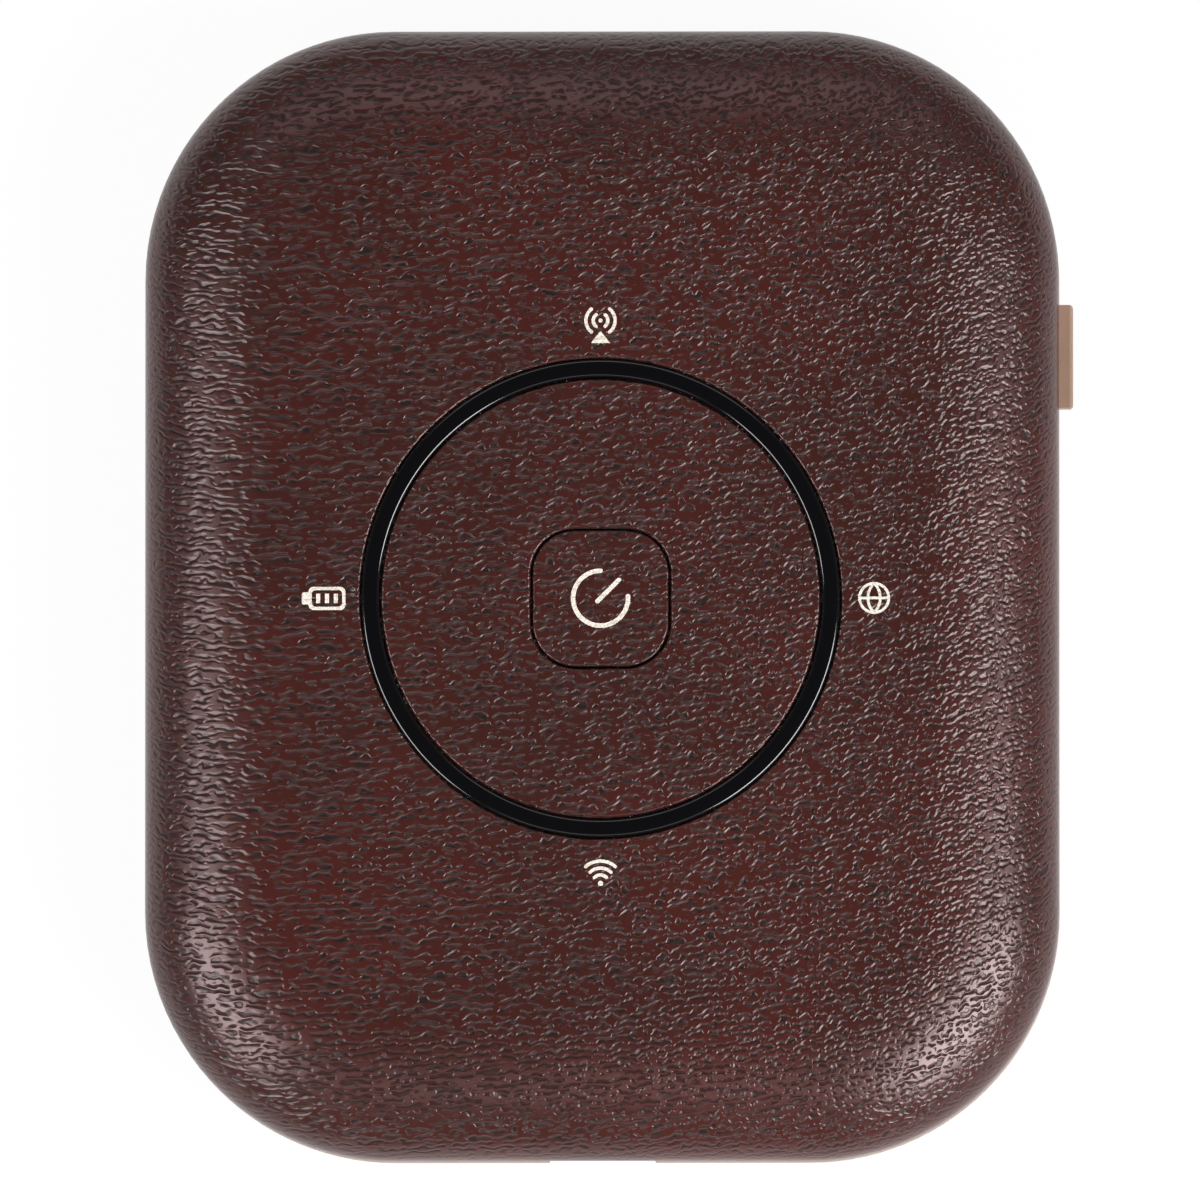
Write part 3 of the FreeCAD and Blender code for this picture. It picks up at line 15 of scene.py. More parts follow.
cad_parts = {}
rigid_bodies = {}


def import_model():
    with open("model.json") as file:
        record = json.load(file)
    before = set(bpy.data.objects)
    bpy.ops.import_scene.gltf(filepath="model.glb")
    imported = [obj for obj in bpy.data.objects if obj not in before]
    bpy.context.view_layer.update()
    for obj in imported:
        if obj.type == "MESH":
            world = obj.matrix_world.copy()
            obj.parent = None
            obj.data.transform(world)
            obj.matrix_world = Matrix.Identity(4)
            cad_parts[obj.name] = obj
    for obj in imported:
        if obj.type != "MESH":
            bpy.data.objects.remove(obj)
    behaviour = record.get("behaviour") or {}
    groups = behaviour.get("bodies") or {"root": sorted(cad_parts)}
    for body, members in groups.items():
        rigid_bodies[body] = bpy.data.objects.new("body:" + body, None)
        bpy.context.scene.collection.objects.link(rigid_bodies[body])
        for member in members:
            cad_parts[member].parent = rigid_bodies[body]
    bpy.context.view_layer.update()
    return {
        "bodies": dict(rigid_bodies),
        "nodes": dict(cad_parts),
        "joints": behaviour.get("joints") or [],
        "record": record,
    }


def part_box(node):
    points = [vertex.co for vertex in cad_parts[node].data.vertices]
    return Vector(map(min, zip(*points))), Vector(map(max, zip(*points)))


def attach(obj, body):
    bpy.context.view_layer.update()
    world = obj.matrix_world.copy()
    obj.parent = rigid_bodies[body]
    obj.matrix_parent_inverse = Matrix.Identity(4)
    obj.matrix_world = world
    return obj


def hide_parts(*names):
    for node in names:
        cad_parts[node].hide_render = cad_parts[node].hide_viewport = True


LOG = logging.getLogger("hotspot")
MM = 0.001
MERGE = 1e-7  # points of a piece in the making this near each other are one, in metres
WELD = 2e-6  # the same for the loose triangles of a node
LEVEL = 1e-6  # how near a level a point lies on it
PAST = 1 * MM  # how far a cutting shape reaches past what it cuts
CORNER = 23.2 * MM  # the outline's corner radius
BUTTON_SIDE = 12.6 * MM  # the power button's cap along X and Y
SIGN_SLACK = 0.05 * MM  # how near the face a sign's upper points lie
REPLACED = {"front_cover", "back_cover", "ring_trim", "power_button", "frame_band", "side_key"}
Colour = tuple[float, float, float]
Edges = list[bmesh.types.BMEdge]
Socket = bpy.types.NodeSocket


class Body(Enum):
    """The bodies that pieces ride on."""

    CASE = "hotspot"
    POWER = "power_button"
    KEY = "side_key"


class Cut(Enum):
    """How one closed mesh is combined with another."""

    REMOVE = "DIFFERENCE"
    ADD = "UNION"


def srgb(red: int, green: int, blue: int) -> Colour:
    """Turns a display colour into the linear values that shaders take.

    Args:
        red: The red channel, from 0 to 255.
        green: The green channel.
        blue: The blue channel.

    Returns:
        The three linear values, from 0 to 1.
    """
    channels = (red / 255, green / 255, blue / 255)
    return tuple(c / 12.92 if c <= 0.04045 else ((c + 0.055) / 1.055) ** 2.4 for c in channels)


class Graph:
    """A material's node tree with short calls for the nodes that the finishes use."""

    def __init__(self, name: str) -> None:
        """Makes the material with one Principled shader.

        Args:
            name: The material's name.
        """
        self.material = bpy.data.materials.new(name)
        self.material.use_nodes = True
        self.nodes = self.material.node_tree.nodes
        self.links = self.material.node_tree.links
        self.nodes.clear()
        self.output = self.nodes.new("ShaderNodeOutputMaterial")
        self.shader = self.nodes.new("ShaderNodeBsdfPrincipled")
        self.links.new(self.shader.outputs[0], self.output.inputs["Surface"])

    def feed(self, socket: Socket, value: object) -> None:
        """Links a socket to another, or sets its plain value.

        Args:
            socket: The input.
            value: Another node's output, a number or a colour.
        """
        if isinstance(value, Socket):
            self.links.new(value, socket)
        elif isinstance(value, tuple) and len(value) == 3 and socket.type == "RGBA":
            socket.default_value = (*value, 1.0)
        else:
            socket.default_value = value

    def surface(self, **values: object) -> None:
        """Feeds the shader's sockets, named with underscores for spaces."""
        for name, value in values.items():
            self.feed(self.shader.inputs[name.replace("_", " ")], value)

    def millimetres(self) -> Socket:
        """The piece's Object coordinates in millimetres."""
        coordinates = self.nodes.new("ShaderNodeTexCoord")
        return self.vector("SCALE", coordinates.outputs["Object"], scale=1 / MM)

    def vector(
        self, operation: str, first: object, second: object = None, scale: float | None = None
    ) -> Socket:
        """A vector operation.

        Args:
            operation: The operation's name.
            first: The first vector.
            second: The second vector, where the operation takes one.
            scale: The factor of a SCALE.

        Returns:
            The resulting vector's socket.
        """
        node = self.nodes.new("ShaderNodeVectorMath")
        node.operation = operation
        self.feed(node.inputs[0], first)
        if second is not None:
            self.feed(node.inputs[1], second)
        if scale is not None:
            node.inputs["Scale"].default_value = scale
        return node.outputs["Vector"]

    def number(self, operation: str, *values: object) -> Socket:
        """A math operation.

        Args:
            operation: The operation's name.
            values: Up to three numbers or outputs.

        Returns:
            The result's socket.
        """
        node = self.nodes.new("ShaderNodeMath")
        node.operation = operation
        for socket, value in zip(node.inputs, values):
            self.feed(socket, value)
        return node.outputs[0]

    def split(self, vector: Socket) -> Sequence[Socket]:
        """Takes a vector apart.

        Args:
            vector: The vector.

        Returns:
            Its X, Y and Z.
        """
        node = self.nodes.new("ShaderNodeSeparateXYZ")
        self.feed(node.inputs[0], vector)
        return node.outputs

    def join(self, x: object, y: object, z: object) -> Socket:
        """Puts a vector together.

        Args:
            x: Its X.
            y: Its Y.
            z: Its Z.

        Returns:
            The vector's socket.
        """
        node = self.nodes.new("ShaderNodeCombineXYZ")
        for socket, value in zip(node.inputs, (x, y, z)):
            self.feed(socket, value)
        return node.outputs[0]

    def noise(
        self, vector: object, scale: float, detail: float = 2.0, roughness: float = 0.5
    ) -> Socket:
        """A noise texture.

        Args:
            vector: Where it is read.
            scale: Its repeats per millimetre, where it is read in millimetres.
            detail: How many finer layers lie over it.
            roughness: How strong those layers are.

        Returns:
            The socket of its value, which lies round 0.5.
        """
        node = self.nodes.new("ShaderNodeTexNoise")
        self.feed(node.inputs["Vector"], vector)
        node.inputs["Scale"].default_value = scale
        node.inputs["Detail"].default_value = detail
        node.inputs["Roughness"].default_value = roughness
        return node.outputs[0]

    def cells(self, vector: object, scale: float, feature: str) -> Socket:
        """A cell texture.

        Args:
            vector: Where it is read.
            scale: Its repeats per millimetre, where it is read in millimetres.
            feature: Which of its measures is read.

        Returns:
            The socket of the distance to a cell's point.
        """
        node = self.nodes.new("ShaderNodeTexVoronoi")
        node.feature = feature
        self.feed(node.inputs["Vector"], vector)
        node.inputs["Scale"].default_value = scale
        return node.outputs["Distance"]

    def ease(
        self, value: object, low: float, high: float, start: float = 0.0, end: float = 1.0
    ) -> Socket:
        """A smooth step from one number to another.

        Args:
            value: What the step follows.
            low: The value at which it begins.
            high: The value at which it ends.
            start: What it gives at the beginning.
            end: What it gives at the end.

        Returns:
            The step's socket.
        """
        node = self.nodes.new("ShaderNodeMapRange")
        node.interpolation_type = "SMOOTHSTEP"
        for socket, item in zip(node.inputs, (value, low, high, start, end)):
            self.feed(socket, item)
        return node.outputs[0]

    def blend(self, amount: object, first: object, second: object) -> Socket:
        """A mix of two colours.

        Args:
            amount: How much of the second there is, from 0 to 1.
            first: The first colour.
            second: The second colour.

        Returns:
            The colour's socket.
        """
        node = self.nodes.new("ShaderNodeMix")
        node.data_type = "RGBA"
        colours = [socket for socket in node.inputs if socket.type == "RGBA"]
        self.feed(node.inputs["Factor"], amount)
        self.feed(colours[0], first)
        self.feed(colours[1], second)
        return next(socket for socket in node.outputs if socket.type == "RGBA")

    def relief(self, height: object, depth: float, normal: object = None) -> Socket:
        """A bumped normal.

        Args:
            height: The height, from 0 to 1.
            depth: How deep that height is, in millimetres.
            normal: A normal to build on.

        Returns:
            The normal's socket.
        """
        node = self.nodes.new("ShaderNodeBump")
        node.inputs["Distance"].default_value = depth * MM
        self.feed(node.inputs["Height"], height)
        if normal is not None:
            self.feed(node.inputs["Normal"], normal)
        return node.outputs[0]


@dataclass(frozen=True)
class LeatherGrain:
    """Brown satin skin with an embossed grain: wavy rows of fine short creases between low tops.

    Attributes:
        tone: The colour of the tops.
        crease: The darker colour painted down in the creases, a painted shade for the shade that
            falls in them.
        ruddy: The warmer colour that the tone drifts to in broad patches.
        row: The spacing of the rows in millimetres.
        length: A crease's length at the left edge, in millimetres.
        crowding: How much shorter the creases get to the right, per square millimetre.
        flow: How much the rows tilt per millimetre across the face.
        start: Where along X the rows lie level, in millimetres.
        skew: How much the rows step down with the level.
        sway: How far the rows wander, in rows, slowly and quickly.
        sway_pace: How often the slow and the quick wander repeat, per row.
        crispness: How narrow a crease is in its row.
        break_pace: How often the creases break off, per row.
        break_edge: The noise below which a row has no crease, and above which it has a full one.
        break_shift: How many rows the breaks' noise lies away from the wander's.
        depth: The grain's depth in millimetres.
        top_edge: The heights at which the tops' colour begins and is full, over the painted
            crease shade.
        gloss: The roughness of the tops and of the creases.
        gloss_edge: The heights that have the first and the second of these.
        middle: The level between the seams, in millimetres.
        fade: How far from the middle level the grain is shallowest and deepest, in millimetres.
        fullness: How full the creases are there.
        cloud_pitch: How often the ruddy patches repeat, per millimetre.
        cloud_edge: The noise at which the ruddy colour begins and is full.
    """

    tone: Colour = srgb(54, 23, 19)
    # painted shade: this colour darkens the creases where shade falls
    crease: Colour = srgb(22, 8, 6)
    ruddy: Colour = srgb(61, 24, 20)
    row: float = 0.68
    length: float = 1.5
    crowding: float = 0.008
    flow: float = 0.003
    start: float = -42.0
    skew: float = 0.35
    sway: tuple[float, float] = (1.2, 1.2)
    sway_pace: tuple[float, float] = (0.35, 1.0)
    crispness: float = 1.25
    break_pace: float = 1.25
    break_edge: tuple[float, float] = (0.33, 0.53)
    break_shift: float = 40.0
    depth: float = 0.07
    top_edge: tuple[float, float] = (0.2, 0.9)
    gloss: tuple[float, float] = (0.28, 0.38)
    gloss_edge: tuple[float, float] = (1.0, 0.3)
    middle: float = 8.1
    fade: tuple[float, float] = (2.0, 6.6)
    fullness: tuple[float, float] = (0.1, 1.0)
    cloud_pitch: float = 0.05
    cloud_edge: tuple[float, float] = (0.4, 0.65)

    def grain(self, graph: Graph) -> tuple[Socket, Socket]:
        """Draws the creases in rows along X that stack up along Y and with the level.

        Args:
            graph: The material's nodes.

        Returns:
            The grain's height, and how far up its tops a point lies, both 0 to 1; the leather's
            painted crease shade follows the second.
        """
        x, y, z = graph.split(graph.millimetres())
        along = graph.number("SUBTRACT", x, self.start)
        pace = graph.number("MULTIPLY_ADD", along, self.crowding, 1 / self.length)
        lift = graph.number("MULTIPLY", graph.number("MULTIPLY", along, along), self.flow / 2)
        run = graph.number("MULTIPLY", along, pace)
        rows = graph.number("DIVIDE", graph.number("SUBTRACT", y, lift), self.row)
        drop = graph.number("DIVIDE", z, self.row)
        row = graph.number("MULTIPLY_ADD", drop, self.skew, rows)
        place = graph.join(run, rows, drop)
        for pitch, reach in zip(self.sway_pace, self.sway):
            drift = graph.noise(graph.vector("SCALE", place, scale=pitch), 1.0, 0.0)
            row = graph.number("MULTIPLY_ADD", drift, reach, row)
        fold = graph.number("PINGPONG", row, 0.5)
        rise = graph.number("MINIMUM", graph.number("MULTIPLY", fold, 2 * self.crispness), 1.0)
        apart = graph.join(run, rows, graph.number("ADD", drop, self.break_shift))
        whole = graph.ease(graph.noise(apart, self.break_pace, 0.0), *self.break_edge)
        away = graph.number("ABSOLUTE", graph.number("SUBTRACT", z, self.middle))
        share = graph.number("MULTIPLY", whole, graph.ease(away, *self.fade, *self.fullness))
        sunk = graph.number("MULTIPLY", graph.number("SUBTRACT", 1.0, rise), share)
        height = graph.number("SUBTRACT", 1.0, sunk)
        return height, graph.ease(height, *self.top_edge)

    def build(self) -> bpy.types.Material:
        """Makes the material.

        Returns:
            The material.
        """
        graph = Graph("leather grain")
        height, top = self.grain(graph)
        cloud = graph.noise(graph.millimetres(), self.cloud_pitch, 2.0)
        tone = graph.blend(graph.ease(cloud, *self.cloud_edge), self.tone, self.ruddy)
        # painted shade: the creases blend to the darker crease colour, the tops to the tone
        graph.surface(
            Base_Color=graph.blend(top, self.crease, tone),
            Roughness=graph.ease(height, *self.gloss_edge, *self.gloss),
            Normal=graph.relief(height, self.depth),
            IOR=1.6,
            Specular_Tint=(1.0, 0.84, 0.83),
            Sheen_Weight=0.04,
            Sheen_Roughness=0.4,
            Sheen_Tint=(1.0, 0.86, 0.82),
        )
        return graph.material


@dataclass(frozen=True)
class Moulding:
    """Moulded plastic with a fine spark-eroded texture.

    Attributes:
        name: The material's name.
        tone: The colour.
        shade: The colour of the faint darker flecks.
        gloss: The roughness, from 0 for a mirror to 1 for chalk.
        depth: The texture's depth in millimetres.
        pitch: Texture repeats per millimetre.
    """

    name: str
    tone: Colour
    shade: Colour
    gloss: float = 0.45
    depth: float = 0.008
    pitch: float = 6.0

    def build(self) -> bpy.types.Material:
        """Makes the material.

        Returns:
            The material.
        """
        graph = Graph(self.name)
        place = graph.millimetres()
        speck = graph.noise(place, self.pitch, 3.0, 0.6)
        cloud = graph.noise(place, 0.12, 3.0)
        graph.surface(
            Base_Color=graph.blend(graph.ease(cloud, 0.3, 0.7), self.shade, self.tone),
            Roughness=graph.ease(speck, 0.3, 0.7, self.gloss - 0.05, self.gloss + 0.07),
            Normal=graph.relief(speck, self.depth),
        )
        return graph.material


@dataclass(frozen=True)
class PianoBlack:
    """Polished black plastic with the faintest ripple and hairline wear.

    Attributes:
        tone: The colour.
        ripple: The ripple's depth in millimetres.
        gloss: The roughness of the clean and of the smeared places.
    """

    tone: Colour = srgb(9, 9, 11)
    ripple: float = 0.004
    gloss: tuple[float, float] = (0.05, 0.12)

    def build(self) -> bpy.types.Material:
        """Makes the material.

        Returns:
            The material.
        """
        graph = Graph("piano black")
        place = graph.millimetres()
        ripple = graph.noise(place, 0.4, 1.0)
        smear = graph.noise(place, 0.9, 4.0, 0.65)
        graph.surface(
            Base_Color=self.tone,
            Roughness=graph.ease(smear, 0.35, 0.75, *self.gloss),
            Normal=graph.relief(ripple, self.ripple),
            Coat_Weight=0.4,
            Coat_Roughness=0.04,
        )
        return graph.material


@dataclass(frozen=True)
class SignInk:
    """Warm white ink that lies thinly over the grain of the skin.

    Attributes:
        tone: The colour where the ink covers.
        thin: The colour where it is worn thin, in the creases.
        depth: How deep the grain is under the ink, in millimetres.
    """

    tone: Colour = srgb(228, 222, 210)
    thin: Colour = srgb(176, 164, 150)
    depth: float = 0.03

    def build(self) -> bpy.types.Material:
        """Makes the material.

        Returns:
            The material.
        """
        graph = Graph("sign ink")
        height, top = LeatherGrain().grain(graph)
        cover = graph.noise(graph.millimetres(), 5.0, 3.0, 0.65)
        raised = graph.ease(top, 0.0, 0.5, 0.6, 1)
        worn = graph.number("MULTIPLY", graph.ease(cover, 0.3, 0.6), raised)
        graph.surface(
            Base_Color=graph.blend(worn, self.thin, self.tone),
            Roughness=graph.ease(cover, 0.3, 0.7, 0.5, 0.62),
            Normal=graph.relief(height, self.depth),
        )
        return graph.material


@dataclass(frozen=True)
class Metal:
    """Drawn or plated metal with fine lines along one direction.

    Attributes:
        name: The material's name.
        tone: The metal's colour.
        tarnish: The colour of its duller patches.
        gloss: The roughness.
        lines: Repeats per millimetre along X, Y and Z.
    """

    name: str
    tone: Colour
    tarnish: Colour
    gloss: float = 0.3
    lines: tuple[float, float, float] = (0.4, 14.0, 14.0)

    def build(self) -> bpy.types.Material:
        """Makes the material.

        Returns:
            The material.
        """
        graph = Graph(self.name)
        place = graph.millimetres()
        drawn = graph.noise(graph.vector("MULTIPLY", place, self.lines), 1.0, 3.0)
        patch = graph.noise(place, 0.35, 3.0)
        graph.surface(
            Base_Color=graph.blend(graph.ease(patch, 0.4, 0.7), self.tone, self.tarnish),
            Metallic=1.0,
            Roughness=graph.ease(drawn, 0.3, 0.7, self.gloss - 0.06, self.gloss + 0.1),
            Normal=graph.relief(drawn, 0.003),
        )
        return graph.material


@dataclass(frozen=True)
class SolderMask:
    """Green circuit board lacquer over copper tracks, with gold pads.

    Attributes:
        tone: The lacquer's colour.
        track: Its colour over a track.
        pad: The pads' colour.
    """

    tone: Colour = srgb(14, 62, 38)
    track: Colour = srgb(24, 92, 52)
    pad: Colour = srgb(206, 168, 88)

    def build(self) -> bpy.types.Material:
        """Makes the material.

        Returns:
            The material.
        """
        graph = Graph("solder mask")
        place = graph.millimetres()
        x, y, _ = graph.split(place)
        bend = graph.noise(graph.vector("SNAP", place, (3.0, 3.0, 3.0)), 0.7, 0.0)
        run = graph.number("ADD", graph.number("ADD", x, y), graph.number("MULTIPLY", bend, 6.0))
        wave = graph.number("PINGPONG", run, 0.35)
        line = graph.ease(wave, 0.2, 0.24)
        spot = graph.cells(place, 0.45, "F1")
        via = graph.ease(spot, 0.2, 0.17)
        lacquer = graph.blend(line, self.tone, self.track)
        graph.surface(
            Base_Color=graph.blend(via, lacquer, self.pad),
            Metallic=via,
            Roughness=graph.ease(bend, 0.2, 0.8, 0.24, 0.34),
            Normal=graph.relief(line, 0.02),
        )
        return graph.material


@dataclass(frozen=True)
class ClearGuide:
    """Clear moulded plastic with a frosted face.

    Attributes:
        tone: The colour that light takes on inside it.
    """

    tone: Colour = srgb(236, 240, 244)

    def build(self) -> bpy.types.Material:
        """Makes the material.

        Returns:
            The material.
        """
        graph = Graph("clear guide")
        frost = graph.noise(graph.millimetres(), 3.0, 2.0)
        graph.surface(
            Base_Color=self.tone,
            Roughness=graph.ease(frost, 0.3, 0.7, 0.12, 0.24),
            Transmission_Weight=0.9,
            IOR=1.49,
        )
        return graph.material


@dataclass(frozen=True)
class CellFoil:
    """Grey laminated foil of the battery, softly creased.

    Attributes:
        tone: The colour of the foil.
        dull: The colour of its duller patches.
    """

    tone: Colour = srgb(150, 153, 158)
    dull: Colour = srgb(118, 121, 126)

    def build(self) -> bpy.types.Material:
        """Makes the material.

        Returns:
            The material.
        """
        graph = Graph("cell foil")
        place = graph.millimetres()
        crease = graph.cells(graph.vector("MULTIPLY", place, (0.05, 0.16, 0.3)), 1.0, "SMOOTH_F1")
        fine = graph.noise(place, 1.4, 4.0)
        graph.surface(
            Base_Color=graph.blend(graph.ease(fine, 0.3, 0.7), self.tone, self.dull),
            Metallic=0.85,
            Roughness=graph.ease(fine, 0.3, 0.7, 0.3, 0.42),
            Normal=graph.relief(crease, 0.25, graph.relief(fine, 0.01)),
        )
        return graph.material


class Finish(Protocol):
    """Anything that makes a material."""

    def build(self) -> bpy.types.Material:
        """Makes the material."""


FINISHES: dict[str, Finish] = {
    "cover_brown": LeatherGrain(),
    "band_tan": Moulding("tan shell", srgb(152, 123, 106), srgb(141, 112, 95), 0.42),
    "trim_black": PianoBlack(),
    "sign_white": SignInk(),
    "clear_guide": ClearGuide(),
    "chassis_black": Moulding("chassis black", srgb(30, 30, 32), srgb(24, 24, 26), 0.55, 0.015),
    "board_green": SolderMask(),
    "shield_steel": Metal("tinned shield", srgb(196, 196, 198), srgb(168, 168, 170), 0.34),
    "chip_black": Moulding("chip moulding", srgb(33, 33, 36), srgb(28, 28, 30), 0.5, 0.006, 9.0),
    "pad_grey": Moulding("thermal pad", srgb(128, 138, 150), srgb(112, 122, 134), 0.7, 0.02, 2.5),
    "component_tan": Moulding("fired ceramic", srgb(156, 128, 96), srgb(128, 104, 78), 0.4),
    "lamp_white": Moulding("lamp body", srgb(238, 236, 214), srgb(222, 218, 190), 0.3),
    "switch_black": Moulding("switch body", srgb(38, 38, 41), srgb(30, 30, 33), 0.45),
    "plunger_white": Moulding("plunger nylon", srgb(220, 220, 214), srgb(204, 204, 196), 0.5),
    "port_steel": Metal(
        "port shell", srgb(190, 191, 194), srgb(164, 165, 168), 0.26, (14.0, 0.4, 14.0)
    ),
    "tongue_black": Moulding("port tongue", srgb(24, 24, 26), srgb(19, 19, 21), 0.42),
    "contact_gold": Metal("gold plating", srgb(226, 186, 100), srgb(200, 158, 80), 0.24),
    "card_white": Moulding("card white", srgb(232, 232, 230), srgb(220, 220, 217), 0.4),
    "battery_silver": CellFoil(),
    "foam_black": Moulding("foam", srgb(34, 34, 35), srgb(22, 22, 23), 0.85, 0.08, 2.2),
    "spreader_grey": Metal("graphite sheet", srgb(88, 88, 92), srgb(72, 72, 76), 0.42),
    "flex_amber": Moulding("flexible film", srgb(150, 92, 34), srgb(122, 72, 26), 0.3, 0.01, 1.2),
    "screw_steel": Metal("screw plating", srgb(150, 150, 154), srgb(120, 120, 124), 0.3),
}


class Workshop:
    """Turns meshes in the making into finished pieces that ride on the frame."""

    def __init__(self, frame: dict) -> None:
        """Makes every finish of the record once.
        """
        self.frame = frame
        self.finishes = {slot: finish.build() for slot, finish in FINISHES.items()}
        record = frame["record"]
        self.slots = {part["node"]: part["material_slot"] for part in record["subparts"]}

    def blank(self, name: str, mesh: bmesh.types.BMesh) -> bpy.types.Object:
        """Puts a mesh in the making into a new object and frees it.

        Args:
            name: The object's name.
            mesh: The mesh, which is used up.

        Returns:
            The object.
        """
        data = bpy.data.meshes.new(name)
        mesh.to_mesh(data)
        mesh.free()
        piece = bpy.data.objects.new(name, data)
        bpy.context.scene.collection.objects.link(piece)
        return piece

    def settle(self, piece: bpy.types.Object) -> None:
        """Bakes a piece's modifiers into its mesh.

        Args:
            piece: The piece.
        """
        bpy.context.view_layer.update()
        depsgraph = bpy.context.evaluated_depsgraph_get()
        data = bpy.data.meshes.new_from_object(piece.evaluated_get(depsgraph))
        piece.modifiers.clear()
        piece.data = data

    def combine(self, piece: bpy.types.Object, tool: bmesh.types.BMesh, how: Cut) -> None:
        """Adds a closed mesh to a piece or removes it.

        Args:
            piece: The piece that changes.
            tool: The closed mesh, which is used up.
            how: Whether it is added or removed.
        """
        other = self.blank("tool", tool)
        modifier = piece.modifiers.new("combine", "BOOLEAN")
        modifier.operation = how.value
        modifier.solver = "EXACT"
        modifier.object = other
        self.settle(piece)
        bpy.data.objects.remove(other)

    def shade(self, piece: bpy.types.Object, crease: float = 32.0) -> None:
        """Shades a piece smoothly, with its flats flat.

        Args:
            piece: The piece.
            crease: The angle in degrees from which an edge stays sharp.
        """
        piece.data.shade_smooth()
        piece.data.set_sharp_from_angle(angle=math.radians(crease))
        modifier = piece.modifiers.new("flats", "WEIGHTED_NORMAL")
        modifier.keep_sharp = True
        self.settle(piece)

    def finish(self, piece: bpy.types.Object, body: Body, node: str) -> None:
        """Gives a piece its finish and lets it stand for a node.

        Args:
            piece: The finished piece.
            body: What it rides on.
            node: The node that it replaces.
        """
        slot = self.slots[node]
        piece.data.materials.clear()
        piece.data.materials.append(self.finishes[slot])
        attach(piece, body.value)
        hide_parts(node)
        LOG.info("%s: %d faces for node %s", piece.name, len(piece.data.polygons), node)

    def keep(self, node: str) -> None:
        """Dresses a node whose shape is right.

        Args:
            node: The node's name.
        """
        holder = self.frame["nodes"][node]
        finish = self.finishes[self.slots[node]]
        for index in range(max(1, len(holder.material_slots))):
            if index < len(holder.material_slots):
                holder.material_slots[index].material = finish
            else:
                holder.data.materials.append(finish)
        LOG.info("%s: kept, in %s", node, finish.name)

    def copy_of(self, node: str) -> bmesh.types.BMesh:
        """Copies a node's mesh and merges its loose triangles.

        Args:
            node: The node's name.

        Returns:
            The mesh in the making.
        """
        mesh = bmesh.new()
        mesh.from_mesh(self.frame["nodes"][node].data)
        bmesh.ops.remove_doubles(mesh, verts=mesh.verts, dist=WELD)
        return mesh


def rounded_plate(
    centre: Vector, width: float, length: float, radius: float, height: float, steps: int = 16
) -> bmesh.types.BMesh:
    """An upright plate with rounded corners, closed.

    Args:
        centre: The middle of its lower face.
        width: Its size along X.
        length: Its size along Y.
        radius: Its corners' radius.
        height: Its height.
        steps: Faces to a corner.

    Returns:
        The mesh in the making.
    """
    mesh = bmesh.new()
    hub = Vector((width / 2 - radius, length / 2 - radius, 0))
    start = mesh.verts.new(hub + Vector((radius, 0, 0)))
    bmesh.ops.spin(
        mesh, geom=[start], cent=hub, axis=(0, 0, 1), angle=math.pi / 2, steps=steps,
        use_merge=False, use_duplicate=False,
    )
    for axis in "XY":
        bmesh.ops.mirror(mesh, geom=mesh.verts[:] + mesh.edges[:], axis=axis, merge_dist=-1)
    ends = [vert for vert in mesh.verts if len(vert.link_edges) == 1]
    for side in (0, 1):
        close_gaps(mesh, ends, side)
    bmesh.ops.remove_doubles(mesh, verts=mesh.verts, dist=MERGE)
    face = bmesh.ops.contextual_create(mesh, geom=mesh.edges[:])["faces"]
    raised = bmesh.ops.extrude_face_region(mesh, geom=face)
    tops = [item for item in raised["geom"] if isinstance(item, bmesh.types.BMVert)]
    bmesh.ops.translate(mesh, verts=tops, vec=(0, 0, height))
    bmesh.ops.translate(mesh, verts=mesh.verts, vec=centre)
    bmesh.ops.recalc_face_normals(mesh, faces=mesh.faces)
    return mesh


def close_gaps(mesh: bmesh.types.BMesh, ends: Sequence[bmesh.types.BMVert], side: int) -> None:
    """Joins the outermost loose ends that mirror each other.

    Args:
        mesh: The mesh in the making.
        ends: The loose ends.
        side: 0 where they mirror each other in X, 1 in Y.
    """
    other = 1 - side
    reach = max(abs(vert.co[other]) for vert in ends) - MERGE
    for vert in ends:
        if vert.co[side] <= MERGE or abs(vert.co[other]) < reach:
            continue
        for mate in ends:
            mirrored = abs(vert.co[side] + mate.co[side]) < MERGE
            if mirrored and abs(vert.co[other] - mate.co[other]) < MERGE:
                mesh.edges.new((vert, mate))


def round_edges(mesh: bmesh.types.BMesh, edges: Edges, radius: float, segments: int = 3) -> None:
    """Rounds edges.

    Args:
        mesh: The mesh in the making.
        edges: The edges.
        radius: The rounding's radius.
        segments: Faces across it.
    """
    bmesh.ops.bevel(
        mesh, geom=edges, offset=radius, segments=segments, profile=0.5, affect="EDGES",
        material=-1,
    )


def post(
    x: float, y: float, low: float, high: float, radius: float, sides: int = 32
) -> bmesh.types.BMesh:
    """An upright closed cylinder.

    Args:
        x: Its axis along X.
        y: Its axis along Y.
        low: The level of its lower end.
        high: The level of its upper end.
        radius: Its radius.
        sides: Faces round it.

    Returns:
        The mesh in the making.
    """
    mesh = bmesh.new()
    place = Matrix.Translation((x, y, (low + high) / 2))
    bmesh.ops.create_cone(
        mesh, cap_ends=True, segments=sides, radius1=radius, radius2=radius,
        depth=high - low, matrix=place,
    )
    return mesh


def slab(low: Vector, high: Vector) -> bmesh.types.BMesh:
    """A closed box.

    Args:
        low: Its lowest corner.
        high: Its highest corner.

    Returns:
        The mesh in the making.
    """
    mesh = bmesh.new()
    size = high - low
    place = Matrix.Translation((low + high) / 2) @ Matrix.Diagonal((*size, 1.0))
    bmesh.ops.create_cube(mesh, size=1.0, matrix=place)
    return mesh


def gathered(meshes: Iterable[bmesh.types.BMesh]) -> bmesh.types.BMesh:
    """Puts meshes that don't touch together.

    Args:
        meshes: The meshes, which are used up.

    Returns:
        One mesh in the making.
    """
    whole = bmesh.new()
    for mesh in meshes:
        data = bpy.data.meshes.new("part")
        mesh.to_mesh(data)
        mesh.free()
        whole.from_mesh(data)
        bpy.data.meshes.remove(data)
    return whole


